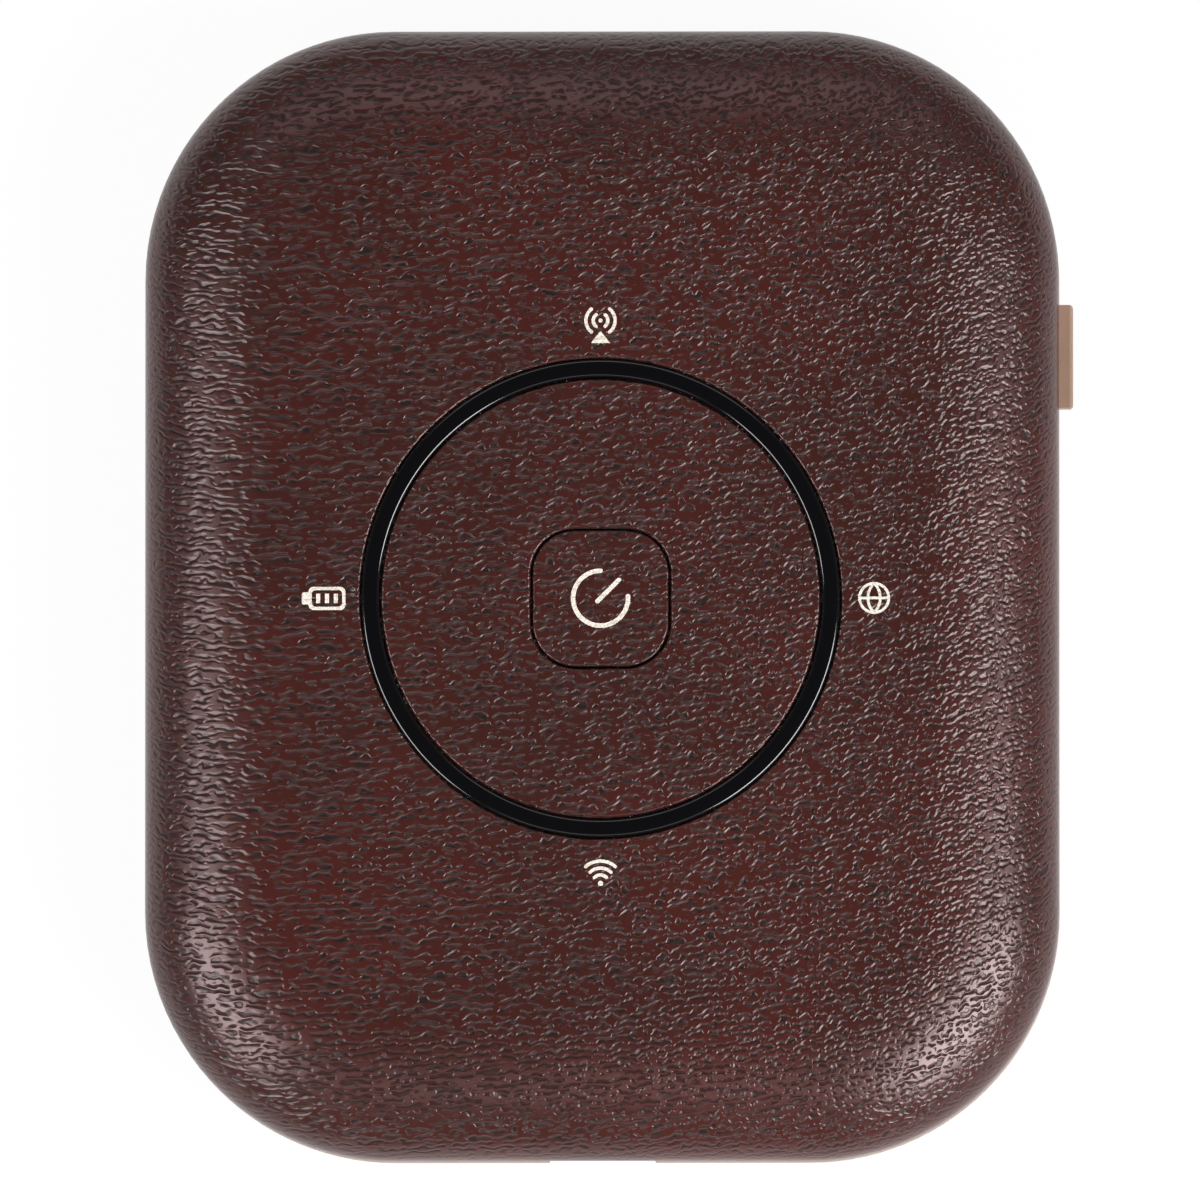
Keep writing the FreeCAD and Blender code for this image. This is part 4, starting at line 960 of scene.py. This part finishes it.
@dataclass
class CoverForm:
    """The half body that both covers share: an outline with an edge that curves in to a flat.

    Attributes:
        width: The size along X at the seam.
        length: The size along Y at the seam.
        radius: The outline's corner radius.
        seam: The level of the seam, where the side is upright.
        face: The level of the flat.
        spread: How far in from the outline the flat begins.
        fullness: How square the edge's curve is, from 0 for a straight slope.
        profile_steps: Faces along the edge's curve.
        corner_steps: Faces round a corner.
        side_steps: Faces along half a side.
    """

    width: float
    length: float
    radius: float
    seam: float
    face: float
    spread: float
    fullness: float = 0.62
    profile_steps: int = 22
    corner_steps: int = 28
    side_steps: int = 6

    def moved_in(self, wall: float) -> "CoverForm":
        """The same form further in, with its seam where it was.

        Args:
            wall: How much further in.

        Returns:
            The inner form.
        """
        toward = math.copysign(wall, self.face - self.seam)
        return CoverForm(
            self.width - 2 * wall, self.length - 2 * wall, self.radius - wall,
            self.seam, self.face - toward, self.spread - wall, self.fullness,
        )

    def build(self) -> bmesh.types.BMesh:
        """Spins the edge's curve round a corner, draws it along the sides and mirrors it.

        Returns:
            The closed mesh in the making.
        """
        mesh = bmesh.new()
        hub = Vector((self.width / 2 - self.radius, self.length / 2 - self.radius, 0))
        rise = self.face - self.seam
        outer = hub + Vector((self.radius, 0, self.seam))
        inner = hub + Vector((self.radius - self.spread, 0, self.face))
        points = interpolate_bezier(
            outer,
            outer + Vector((0, 0, self.fullness * rise)),
            inner + Vector((self.spread * (1 - self.fullness), 0, 0)),
            inner,
            self.profile_steps + 1,
        )
        chain = [mesh.verts.new(point) for point in points]
        edges = [mesh.edges.new(pair) for pair in zip(chain, chain[1:])]
        self.draw(mesh, edges, Vector((0, -hub.y, 0)))
        spun = bmesh.ops.spin(
            mesh, geom=chain + edges, cent=hub, axis=(0, 0, 1), angle=math.pi / 2,
            steps=self.corner_steps, use_merge=False, use_duplicate=False,
        )
        last = [item for item in spun["geom_last"] if isinstance(item, bmesh.types.BMEdge)]
        self.draw(mesh, last, Vector((-hub.x, 0, 0)))
        for axis in "XY":
            everything = mesh.verts[:] + mesh.edges[:] + mesh.faces[:]
            bmesh.ops.mirror(mesh, geom=everything, axis=axis, merge_dist=MERGE)
        bmesh.ops.remove_doubles(mesh, verts=mesh.verts, dist=MERGE)
        bmesh.ops.holes_fill(mesh, edges=[edge for edge in mesh.edges if edge.is_boundary])
        bmesh.ops.recalc_face_normals(mesh, faces=mesh.faces)
        return mesh

    def draw(self, mesh: bmesh.types.BMesh, edges: Edges, run: Vector) -> None:
        """Extrudes a chain of edges along a straight run in even steps.

        Args:
            mesh: The mesh in the making.
            edges: The chain.
            run: How far and which way.
        """
        for _ in range(self.side_steps):
            drawn = bmesh.ops.extrude_edge_only(mesh, edges=edges)["geom"]
            verts = [item for item in drawn if isinstance(item, bmesh.types.BMVert)]
            edges = [item for item in drawn if isinstance(item, bmesh.types.BMEdge)]
            bmesh.ops.translate(mesh, verts=verts, vec=run / self.side_steps)


@dataclass
class Casing:
    """The sizes that the pieces share, most of them read from the frame.

    Attributes:
        width: The body's size along X.
        length: The body's size along Y.
        radius: The outline's corner radius.
        seams: The levels of the lower and upper seam.
        top: The level of the front's flat.
        wall: The covers' wall.
        board_top: The level of the board's upper face.
    """

    width: float
    length: float
    radius: float
    seams: tuple[float, float]
    top: float
    wall: float
    board_top: float

    @classmethod
    def from_frame(cls) -> "Casing":
        """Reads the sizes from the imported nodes.

        Returns:
            The sizes.
        """
        low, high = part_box("front_cover")
        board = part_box("main_board")[1]
        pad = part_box("battery_pad")[0]
        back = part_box("back_cover")[1]
        size = high - low
        return cls(size.x, size.y, CORNER, (back.z, low.z), high.z, pad.z, board.z)


def drawn_up(shop: Workshop, sign: str, face: float) -> bmesh.types.BMesh:
    """Makes the cutting shape for a sign's pocket.

    Args:
        shop: Makes the pieces.
        sign: The sign's node.
        face: The level of the face that the sign lies in.

    Returns:
        The sign's own shape, drawn up past the face.
    """
    mesh = shop.copy_of(sign)
    for vert in mesh.verts:
        if vert.co.z > face - SIGN_SLACK:
            vert.co.z = face + PAST
    return mesh


@dataclass
class FrontCover:
    """The front shell in leather grain, with its groove, button hole and sign pockets.

    Attributes:
        casing: The sizes that the pieces share.
        spread: How far in from the outline the flat begins.
        rim: The rounding at the seam.
        lip: The rounding at the groove and the button hole.
        bend: The angle in degrees from which an edge counts for either.
        lip_inset: How far within the flat's sides an edge lies to get the lip.
        rim_slack: How near the outline an edge lies to get the rim.
        groove_depth: The groove's depth.
        groove_width: The groove's width, less the gap on its outer side.
        groove_gap: The gap on the ring's outer side.
        hole_gap: The gap round the button.
        hole_radius: The button hole's corner radius.
        hole_depth: How far below the face the hole's cutting shape begins.
        hole_reach: That shape's height.
        roof_depth: How far below the face the screw bosses end in the shell.
        boss_inset: How far in from two sides the bosses stand.
        boss_radius: Their radius.
        screw_radius: The radius of their holes.
        screw_spare: How far the holes go on past the screws.
        sign_reach: How far from the button's centre the wells behind the four signs lie.
        well: A well's size along X and Y.
        web: The wall between a well and its sign.
        pin_reach: How far from the button's centre the ring's pins stand.
        pin_radius: The radius of their holes.
        signs: The nodes of the four signs.
    """

    casing: Casing
    spread: float = 12.5 * MM
    rim: float = 0.16 * MM
    lip: float = 0.24 * MM
    bend: float = 50.0
    lip_inset: float = 1 * MM
    rim_slack: float = 0.5 * MM
    groove_depth: float = 0.9 * MM
    groove_width: float = 1.86 * MM
    groove_gap: float = 0.13 * MM
    hole_gap: float = 0.22 * MM
    hole_radius: float = 4.22 * MM
    hole_depth: float = 4 * MM
    hole_reach: float = 6 * MM
    roof_depth: float = 2.6 * MM
    boss_inset: float = 11.0 * MM
    boss_radius: float = 2.1 * MM
    screw_radius: float = 0.85 * MM
    screw_spare: float = 0.3 * MM
    sign_reach: float = 25.4 * MM
    well: tuple[float, float] = (4.8 * MM, 4.2 * MM)
    web: float = 0.3 * MM
    pin_reach: float = 21.4 * MM
    pin_radius: float = 0.66 * MM
    signs: tuple[str, ...] = ("hotspot_sign", "battery_sign", "network_sign", "wireless_sign")

    def cavity(self, shop: Workshop, form: CoverForm) -> bmesh.types.BMesh:
        """Makes the shell's hollow, less the four screw bosses that stand down into it.

        Args:
            shop: Makes the pieces.
            form: The shell's outer form.

        Returns:
            The hollow, drawn down past the seam.
        """
        hollow = shop.blank("hollow", form.moved_in(self.casing.wall).build())
        roof = self.casing.top - self.roof_depth
        bosses = self.bosses(self.boss_radius, self.casing.board_top, roof)
        shop.combine(hollow, gathered(bosses), Cut.REMOVE)
        mesh = bmesh.new()
        mesh.from_mesh(hollow.data)
        bpy.data.objects.remove(hollow)
        seam = self.casing.seams[1]
        for vert in mesh.verts:
            if vert.co.z < seam + MERGE:
                vert.co.z = seam - PAST
        return mesh

    def bosses(self, radius: float, low: float, high: float) -> list[bmesh.types.BMesh]:
        """Puts four posts at the case screws.

        Args:
            radius: Their radius.
            low: The level of their lower ends.
            high: The level of their upper ends.

        Returns:
            The posts.
        """
        x = self.casing.width / 2 - self.boss_inset
        y = self.casing.length / 2 - self.boss_inset
        return [post(side * x, end * y, low, high, radius) for side in (-1, 1) for end in (-1, 1)]

    def hidden_holes(self, centre: Vector) -> list[bmesh.types.BMesh]:
        """Makes the guides' wells behind the signs, the ring's pin holes and the screws' holes.

        Args:
            centre: The button's centre.

        Returns:
            The cutting shapes.
        """
        case = self.casing
        start = case.top - case.wall - PAST
        well_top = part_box(self.signs[0])[0].z - self.web
        half = Vector((self.well[0] / 2, self.well[1] / 2, 0))
        screw_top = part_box("case_screws")[1].z + self.screw_spare
        tools = self.bosses(self.screw_radius, case.board_top - PAST, screw_top)
        for quarter in range(4):
            turn = math.pi / 2 * quarter
            out = Vector((math.cos(turn), math.sin(turn), 0)) * self.sign_reach
            low = Vector((centre.x, centre.y, start)) + out - half
            tools.append(slab(low, Vector((centre.x, centre.y, well_top)) + out + half))
            turn += math.pi / 4
            x = centre.x + self.pin_reach * math.cos(turn)
            y = centre.y + self.pin_reach * math.sin(turn)
            tools.append(post(x, y, start, case.top - self.groove_depth / 2, self.pin_radius))
        return tools

    def groove(self, ring: tuple[Vector, Vector]) -> bmesh.types.BMesh:
        """Makes the round groove that the ring sits in.

        Args:
            ring: The ring's lowest and highest corner.

        Returns:
            The cutting shape.
        """
        low, high = ring
        outer = (high.x - low.x) / 2 + self.groove_gap
        inner = outer - self.groove_width - self.groove_gap
        top = self.casing.top
        return ring_of((low + high) / 2, inner, outer, top - self.groove_depth, top + PAST)

    def build(self, shop: Workshop) -> bpy.types.Object:
        """Builds and dresses the shell.

        Args:
            shop: Makes the pieces.

        Returns:
            The finished piece.
        """
        case = self.casing
        form = CoverForm(
            case.width, case.length, case.radius, case.seams[1], case.top, self.spread
        )
        piece = shop.blank("front_skin", form.build())
        shop.combine(piece, self.cavity(shop, form), Cut.REMOVE)
        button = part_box("button_light_guide")
        centre = (button[0] + button[1]) / 2
        side = BUTTON_SIDE + 2 * self.hole_gap
        floor = Vector((centre.x, centre.y, case.top - self.hole_depth))
        hole = rounded_plate(floor, side, side, self.hole_radius, self.hole_reach)
        shop.combine(piece, gathered([self.groove(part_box("ring_trim")), hole]), Cut.REMOVE)
        self.soften(piece, centre)
        pockets = gathered([drawn_up(shop, sign, case.top) for sign in self.signs])
        shop.combine(piece, pockets, Cut.REMOVE)
        shop.combine(piece, gathered(self.hidden_holes(centre)), Cut.REMOVE)
        shop.shade(piece)
        shop.finish(piece, Body.CASE, "front_cover")
        return piece

    def soften(self, piece: bpy.types.Object, centre: Vector) -> None:
        """Rounds the edges of the groove, the hole and the seam.

        Args:
            piece: The shell.
            centre: The button's centre.
        """
        case = self.casing
        mesh = bmesh.new()
        mesh.from_mesh(piece.data)
        flat = case.width / 2 - self.spread - self.lip_inset
        lips: Edges = []
        rims: Edges = []
        for edge in mesh.edges:
            if len(edge.link_faces) != 2 or edge.calc_face_angle() < math.radians(self.bend):
                continue
            middle = (edge.verts[0].co + edge.verts[1].co) / 2
            on_top = all(abs(vert.co.z - case.top) < LEVEL for vert in edge.verts)
            on_seam = all(abs(vert.co.z - case.seams[1]) < LEVEL for vert in edge.verts)
            if on_top and (middle - centre).xy.length < flat:
                lips.append(edge)
            elif on_seam and self.outside(middle):
                rims.append(edge)
        round_edges(mesh, lips, self.lip)
        round_edges(mesh, [edge for edge in rims if edge.is_valid], self.rim)
        mesh.to_mesh(piece.data)
        mesh.free()

    def outside(self, point: Vector) -> bool:
        """Tells the seam's outer outline from its inner one.

        Args:
            point: A point of the seam.

        Returns:
            Whether it lies on the outer outline.
        """
        case = self.casing
        hub = Vector((case.width / 2 - case.radius, case.length / 2 - case.radius))
        beyond = Vector((max(0, abs(point.x) - hub.x), max(0, abs(point.y) - hub.y)))
        return beyond.length > case.radius - self.rim_slack


def ring_of(
    centre: Vector, inner: float, outer: float, low: float, high: float, steps: int = 128
) -> bmesh.types.BMesh:
    """A closed flat ring between two radii and two levels."""
    return turned(centre, [(inner, low), (outer, low), (outer, high), (inner, high)], steps)


def turned(
    centre: Vector, outline: Sequence[tuple[float, float]], steps: int
) -> bmesh.types.BMesh:
    """Turns a closed outline of radii and levels about an upright axis.

    Args:
        centre: A point on the axis.
        outline: The corners as radius and level.
        steps: Faces to a turn.

    Returns:
        The closed mesh.
    """
    mesh = bmesh.new()
    loop = [mesh.verts.new((centre.x + radius, centre.y, level)) for radius, level in outline]
    edges = [mesh.edges.new(pair) for pair in zip(loop, loop[1:] + loop[:1])]
    bmesh.ops.spin(
        mesh, geom=loop + edges, cent=(centre.x, centre.y, 0), axis=(0, 0, 1),
        angle=2 * math.pi, steps=steps, use_merge=True, use_duplicate=False,
    )
    bmesh.ops.remove_doubles(mesh, verts=mesh.verts, dist=MERGE)
    bmesh.ops.recalc_face_normals(mesh, faces=mesh.faces)
    return mesh


@dataclass
class BackCover:
    """The snap-on back shell in the same grain, with its notches and bare panel.

    Attributes:
        casing: The sizes that the pieces share.
        spread: How far in from the outline the flat begins.
        nail_radius: The fingernail notch's radius.
        nail_depth: How far in the notch cuts.
        nail_height: How far below the seam it reaches.
        nail_place: Where it lies along Y.
        port_half: Half the width of the charging port's notch.
        port_depth: How far in from the end that notch cuts.
        panel_size: The bare panel's size along X and Y.
        panel_corner: Its corner radius.
        panel_depth: How far it is sunk.
        panel_place: Where its middle lies along Y.
    """

    casing: Casing
    spread: float = 9.0 * MM
    nail_radius: float = 9.0 * MM
    nail_depth: float = 0.8 * MM
    nail_height: float = 1.2 * MM
    nail_place: float = -22 * MM
    port_half: float = 4.95 * MM
    port_depth: float = 0.45 * MM
    panel_size: tuple[float, float] = (42 * MM, 24 * MM)
    panel_corner: float = 3 * MM
    panel_depth: float = 0.15 * MM
    panel_place: float = -26 * MM

    def notches(self) -> list[bmesh.types.BMesh]:
        """Makes the shapes that cut the two notches and the panel.

        Returns:
            The cutting shapes.
        """
        case = self.casing
        seam = case.seams[0]
        end = -case.length / 2
        nail = post(
            -case.width / 2 - self.nail_radius + self.nail_depth, self.nail_place,
            seam - self.nail_height, seam + PAST, self.nail_radius, 96,
        )
        port = slab(
            Vector((-self.port_half, end - PAST, -PAST)),
            Vector((self.port_half, end + self.port_depth, seam + PAST)),
        )
        middle = Vector((0, self.panel_place, -PAST))
        height = PAST + self.panel_depth
        return [nail, port, rounded_plate(middle, *self.panel_size, self.panel_corner, height)]

    def build(self, shop: Workshop) -> bpy.types.Object:
        """Builds and dresses the shell.

        Args:
            shop: Makes the pieces.

        Returns:
            The finished piece.
        """
        case = self.casing
        form = CoverForm(case.width, case.length, case.radius, case.seams[0], 0.0, self.spread)
        piece = shop.blank("back_skin", form.build())
        hollow = form.moved_in(case.wall).build()
        for vert in hollow.verts:
            if vert.co.z > case.seams[0] - MERGE:
                vert.co.z += PAST
        shop.combine(piece, hollow, Cut.REMOVE)
        shop.combine(piece, gathered(self.notches()), Cut.REMOVE)
        shop.shade(piece)
        shop.finish(piece, Body.CASE, "back_cover")
        return piece


@dataclass
class RingTrim:
    """The gloss ring, crowned and rounded on both edges, with its pins below.

    Attributes:
        casing: The sizes that the pieces share.
        width: The ring's width.
        depth: How far below the face its underside lies.
        crown: How much higher its middle is than its shoulders.
        rounding: The radius of both upper edges.
        pin: A pin's radius, and how far up into the ring it reaches.
        head: The radius and the height of the head at a pin's lower end.
        turn_steps: Faces round the ring.
        edge_steps: Faces to a rounding.
        crease: The angle in degrees from which an edge stays sharp.
    """

    casing: Casing
    width: float = 1.68 * MM
    depth: float = 0.9 * MM
    crown: float = 0.06 * MM
    rounding: float = 0.34 * MM
    pin: tuple[float, float] = (0.6 * MM, 0.2 * MM)
    head: tuple[float, float] = (0.9 * MM, 0.4 * MM)
    turn_steps: int = 144
    edge_steps: int = 6
    crease: float = 40.0

    def rounded(self, hub: float, shoulder: float, start: float) -> list[tuple[float, float]]:
        """Rounds an upper edge over a quarter turn.

        Args:
            hub: The radius at which the rounding's centre lies.
            shoulder: That centre's level.
            start: The angle at which the quarter turn begins.

        Returns:
            Its points as radius and level.
        """
        turns = [start + math.pi / 2 * k / self.edge_steps for k in range(self.edge_steps + 1)]
        return [
            (hub + self.rounding * math.cos(turn), shoulder + self.rounding * math.sin(turn))
            for turn in turns
        ]

    def outline(
        self, inner: float, outer: float, low: float, high: float
    ) -> list[tuple[float, float]]:
        """Draws the ring's section.

        Args:
            inner: The inner radius.
            outer: The outer radius.
            low: The level of the underside.
            high: The level of the crown.

        Returns:
            The section's corners as radius and level.
        """
        shoulder = high - self.crown - self.rounding
        return [
            (inner, low),
            (outer, low),
            *self.rounded(outer - self.rounding, shoulder, 0.0),
            ((inner + outer) / 2, high),
            *self.rounded(inner + self.rounding, shoulder, math.pi / 2),
        ]

    def build(self, shop: Workshop) -> bpy.types.Object:
        """Builds and dresses the ring.

        Args:
            shop: Makes the pieces.

        Returns:
            The finished piece.
        """
        low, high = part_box("ring_trim")
        centre = (low + high) / 2
        outer = (high.x - low.x) / 2
        inner = outer - self.width
        seat = self.casing.top - self.depth
        mesh = turned(centre, self.outline(inner, outer, seat, high.z), self.turn_steps)
        piece = shop.blank("ring_gloss", mesh)
        away = (inner + outer) / 2 / math.sqrt(2)
        levels = (seat + self.pin[1], low.z + self.head[1])
        for radius, level in zip((self.pin[0], self.head[0]), levels):
            posts = [
                post(centre.x + side * away, centre.y + end * away, low.z, level, radius)
                for side in (-1, 1)
                for end in (-1, 1)
            ]
            shop.combine(piece, gathered(posts), Cut.ADD)
        shop.shade(piece, self.crease)
        shop.finish(piece, Body.CASE, "ring_trim")
        return piece


@dataclass
class PowerButton:
    """The square cap in leather grain, rounded over its edge, with its flange below.

    Attributes:
        casing: The sizes that the pieces share.
        corner: The cap's corner radius.
        edge: The rounding over its edge.
        flange: The flange's thickness.
        flange_corner: How much larger the flange's corner radius is.
        overlap: How far the flange runs up into the cap.
        guide_gap: The gap round the light guide.
    """

    casing: Casing
    corner: float = 4.0 * MM
    edge: float = 0.2 * MM
    flange: float = 0.8 * MM
    flange_corner: float = 1.3 * MM
    overlap: float = 0.1 * MM
    guide_gap: float = 0.05 * MM

    def build(self, shop: Workshop) -> bpy.types.Object:
        """Builds and dresses the cap.

        Args:
            shop: Makes the pieces.

        Returns:
            The finished piece.
        """
        low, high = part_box("power_button")
        centre = (low + high) / 2
        step = low.z + self.flange
        foot = Vector((centre.x, centre.y, step))
        cap = rounded_plate(foot, BUTTON_SIDE, BUTTON_SIDE, self.corner, high.z - step)
        upper = [edge for edge in cap.edges if all(v.co.z > high.z - MERGE for v in edge.verts)]
        round_edges(cap, upper, self.edge, 4)
        piece = shop.blank("button_cap", cap)
        flange = rounded_plate(
            Vector((centre.x, centre.y, low.z)), high.x - low.x, high.y - low.y,
            self.corner + self.flange_corner, step - low.z + self.overlap,
        )
        shop.combine(piece, flange, Cut.ADD)
        guide_low, guide_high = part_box("button_light_guide")
        reach = (guide_high.x - guide_low.x) / 2 + self.guide_gap
        well = post(centre.x, centre.y, low.z - PAST, guide_high.z, reach, 64)
        shop.combine(piece, well, Cut.REMOVE)
        shop.combine(piece, drawn_up(shop, "power_sign", self.casing.top), Cut.REMOVE)
        shop.shade(piece)
        shop.finish(piece, Body.POWER, "power_button")
        return piece


@dataclass
class SmoothCopy:
    """A node's own shape, merged and shaded smoothly.

    Attributes:
        name: The piece's name.
        node: The node.
        body: What it rides on.
        flatness: The angle in degrees up to which triangles join into one face.
    """

    name: str
    node: str
    body: Body
    flatness: float = 0.4

    def build(self, shop: Workshop) -> bpy.types.Object:
        """Builds and dresses the copy.

        Args:
            shop: Makes the pieces.

        Returns:
            The finished piece.
        """
        mesh = shop.copy_of(self.node)
        bmesh.ops.dissolve_limit(
            mesh, angle_limit=math.radians(self.flatness), use_dissolve_boundaries=False,
            verts=mesh.verts, edges=mesh.edges, delimit={"NORMAL"},
        )
        piece = shop.blank(self.name, mesh)
        shop.shade(piece)
        shop.finish(piece, self.body, self.node)
        return piece


@dataclass(frozen=True)
class SoftBox:
    """A soft box that shines on the part.

    Attributes:
        name: The lamp's name.
        azimuth: Its direction round the part in degrees, 0 at +X and 90 at +Y.
        elevation: Its height above the floor in degrees.
        size: Its width and height in metres.
        power: Its power in watts.
    """

    name: str
    azimuth: float
    elevation: float
    size: tuple[float, float]
    power: float


@dataclass
class Studio:
    """The pale floor, the soft lamps and the camera over the front.

    Attributes:
        casing: The sizes that the pieces share.
        frame_width: The width of the floor that the picture shows, at the seam's level.
        lean: The camera's lean from straight overhead, towards the key and the port, in degrees.
        distance: How far the camera stands off, long enough for an almost parallel view.
        aim: Where the picture's middle lies on the body.
        clip: The nearest and the farthest that the camera sees, in metres.
        sensor: The width of the camera's sensor in millimetres.
        floor_size: Half the floor's side in metres.
        paper: The floor's colour where it is lit.
        bare: How much of the floor shows as plain white, the rest being lit paper.
        sky_tone: The colour of the sky that lights the part.
        sky: That sky's strength below and above the step between them.
        sky_step: How far up the step begins and ends, from 0 at the horizon to 1 overhead.
        lamp_distance: How far off the soft boxes hang, in metres.
        lamps: The soft boxes.
    """

    casing: Casing
    frame_width: float = 111.6 * MM
    lean: tuple[float, float] = (1.1, 3.0)
    distance: float = 4.0
    aim: tuple[float, float] = (-0.19 * MM, -0.42 * MM)
    clip: tuple[float, float] = (0.05, 20.0)
    sensor: float = 36.0
    floor_size: float = 3.0
    paper: Colour = (0.9, 0.9, 0.9)
    bare: float = 0.95
    sky_tone: Colour = (1.0, 0.96, 0.93)
    sky: tuple[float, float] = (0.1, 0.02)
    sky_step: tuple[float, float] = (0.55, 0.98)
    lamp_distance: float = 0.6
    lamps: tuple[SoftBox, ...] = (
        SoftBox("left box", 206, 40, (0.4, 0.24), 2.6),
        SoftBox("right box", 327, 40, (0.46, 0.24), 5.0),
        SoftBox("row box", 275, 50, (0.5, 0.2), 0.3),
        SoftBox("back box", 92, 42, (0.7, 0.24), 0.6),
    )

    def floor(self) -> None:
        """Lays a wide pale floor that shows near white and keeps a soft shadow."""
        mesh = bmesh.new()
        bmesh.ops.create_grid(mesh, x_segments=1, y_segments=1, size=self.floor_size)
        data = bpy.data.meshes.new("floor")
        mesh.to_mesh(data)
        mesh.free()
        floor = bpy.data.objects.new("floor", data)
        bpy.context.scene.collection.objects.link(floor)
        graph = Graph("pale floor")
        graph.surface(Base_Color=self.paper, Roughness=0.9, Specular_IOR_Level=0.1)
        glow = graph.nodes.new("ShaderNodeEmission")
        glow.inputs["Strength"].default_value = 1.0
        rays = graph.nodes.new("ShaderNodeLightPath").outputs
        seen = graph.number("MAXIMUM", rays["Is Camera Ray"], rays["Is Glossy Ray"])
        seen = graph.number("MAXIMUM", seen, rays["Is Transmission Ray"])
        mix = graph.nodes.new("ShaderNodeMixShader")
        graph.feed(mix.inputs[0], graph.number("MULTIPLY", seen, self.bare))
        graph.links.new(graph.shader.outputs[0], mix.inputs[1])
        graph.links.new(glow.outputs[0], mix.inputs[2])
        graph.links.new(mix.outputs[0], graph.output.inputs["Surface"])
        data.materials.append(graph.material)

    def world(self) -> None:
        """Hangs a dim sky, dimmer overhead, that shows white behind the part."""
        world = bpy.data.worlds.new("sky")
        world.use_nodes = True
        nodes = world.node_tree.nodes
        links = world.node_tree.links
        nodes.clear()
        output = nodes.new("ShaderNodeOutputWorld")
        lit = nodes.new("ShaderNodeBackground")
        lit.inputs["Color"].default_value = (*self.sky_tone, 1.0)
        way = nodes.new("ShaderNodeTexCoord")
        parts = nodes.new("ShaderNodeSeparateXYZ")
        rise = nodes.new("ShaderNodeMapRange")
        for name, value in zip(("From Min", "From Max"), self.sky_step):
            rise.inputs[name].default_value = value
        for name, value in zip(("To Min", "To Max"), self.sky):
            rise.inputs[name].default_value = value
        links.new(way.outputs["Generated"], parts.inputs[0])
        links.new(parts.outputs["Z"], rise.inputs["Value"])
        links.new(rise.outputs[0], lit.inputs["Strength"])
        shown = nodes.new("ShaderNodeBackground")
        shown.inputs["Color"].default_value = (1.0, 1.0, 1.0, 1.0)
        path = nodes.new("ShaderNodeLightPath")
        mix = nodes.new("ShaderNodeMixShader")
        links.new(path.outputs["Is Camera Ray"], mix.inputs[0])
        links.new(lit.outputs[0], mix.inputs[1])
        links.new(shown.outputs[0], mix.inputs[2])
        links.new(mix.outputs[0], output.inputs["Surface"])
        bpy.context.scene.world = world

    def lamp(self, lamp: SoftBox) -> None:
        """Hangs a soft box and aims it at the part.

        Args:
            lamp: The soft box.
        """
        light = bpy.data.lights.new(lamp.name, "AREA")
        light.shape = "RECTANGLE"
        light.energy = lamp.power
        light.size, light.size_y = lamp.size
        holder = bpy.data.objects.new(lamp.name, light)
        turn = math.radians(lamp.azimuth)
        rise = math.radians(lamp.elevation)
        level = math.cos(rise)
        back = Vector((math.cos(turn) * level, math.sin(turn) * level, math.sin(rise)))
        holder.location = back * self.lamp_distance
        holder.rotation_mode = "QUATERNION"
        holder.rotation_quaternion = back.to_track_quat("Z", "Y")
        bpy.context.scene.collection.objects.link(holder)

    def camera(self) -> None:
        """Sets a long lens nearly straight overhead."""
        data = bpy.data.cameras.new("camera")
        data.sensor_width = self.sensor
        data.lens = data.sensor_width * self.distance / self.frame_width
        data.clip_start, data.clip_end = self.clip
        camera = bpy.data.objects.new("camera", data)
        side, near = (math.tan(math.radians(angle)) for angle in self.lean)
        back = Vector((side, -near, 1)).normalized()
        target = Vector((*self.aim, self.casing.seams[1]))
        camera.location = target + back * self.distance
        camera.rotation_euler = (math.atan(near), math.atan(side), 0)
        bpy.context.scene.collection.objects.link(camera)
        bpy.context.scene.camera = camera

    def build(self) -> None:
        """Sets the stage."""
        bpy.context.scene.view_settings.view_transform = "Standard"
        self.floor()
        self.world()
        for lamp in self.lamps:
            self.lamp(lamp)
        self.camera()


def main() -> None:
    """Builds every piece in order and dresses the nodes that stay."""
    logging.basicConfig(level=logging.INFO, format="%(message)s")
    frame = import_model()
    shop = Workshop(frame)
    casing = Casing.from_frame()
    assemblies = (
        FrontCover(casing),
        BackCover(casing),
        RingTrim(casing),
        PowerButton(casing),
        SmoothCopy("band", "frame_band", Body.CASE),
        SmoothCopy("key_cap", "side_key", Body.KEY),
    )
    for assembly in assemblies:
        assembly.build(shop)
    for node in sorted(set(frame["nodes"]) - REPLACED):
        shop.keep(node)
    Studio(casing).build()
    bpy.context.view_layer.update()


if __name__ == "__main__":
    main()
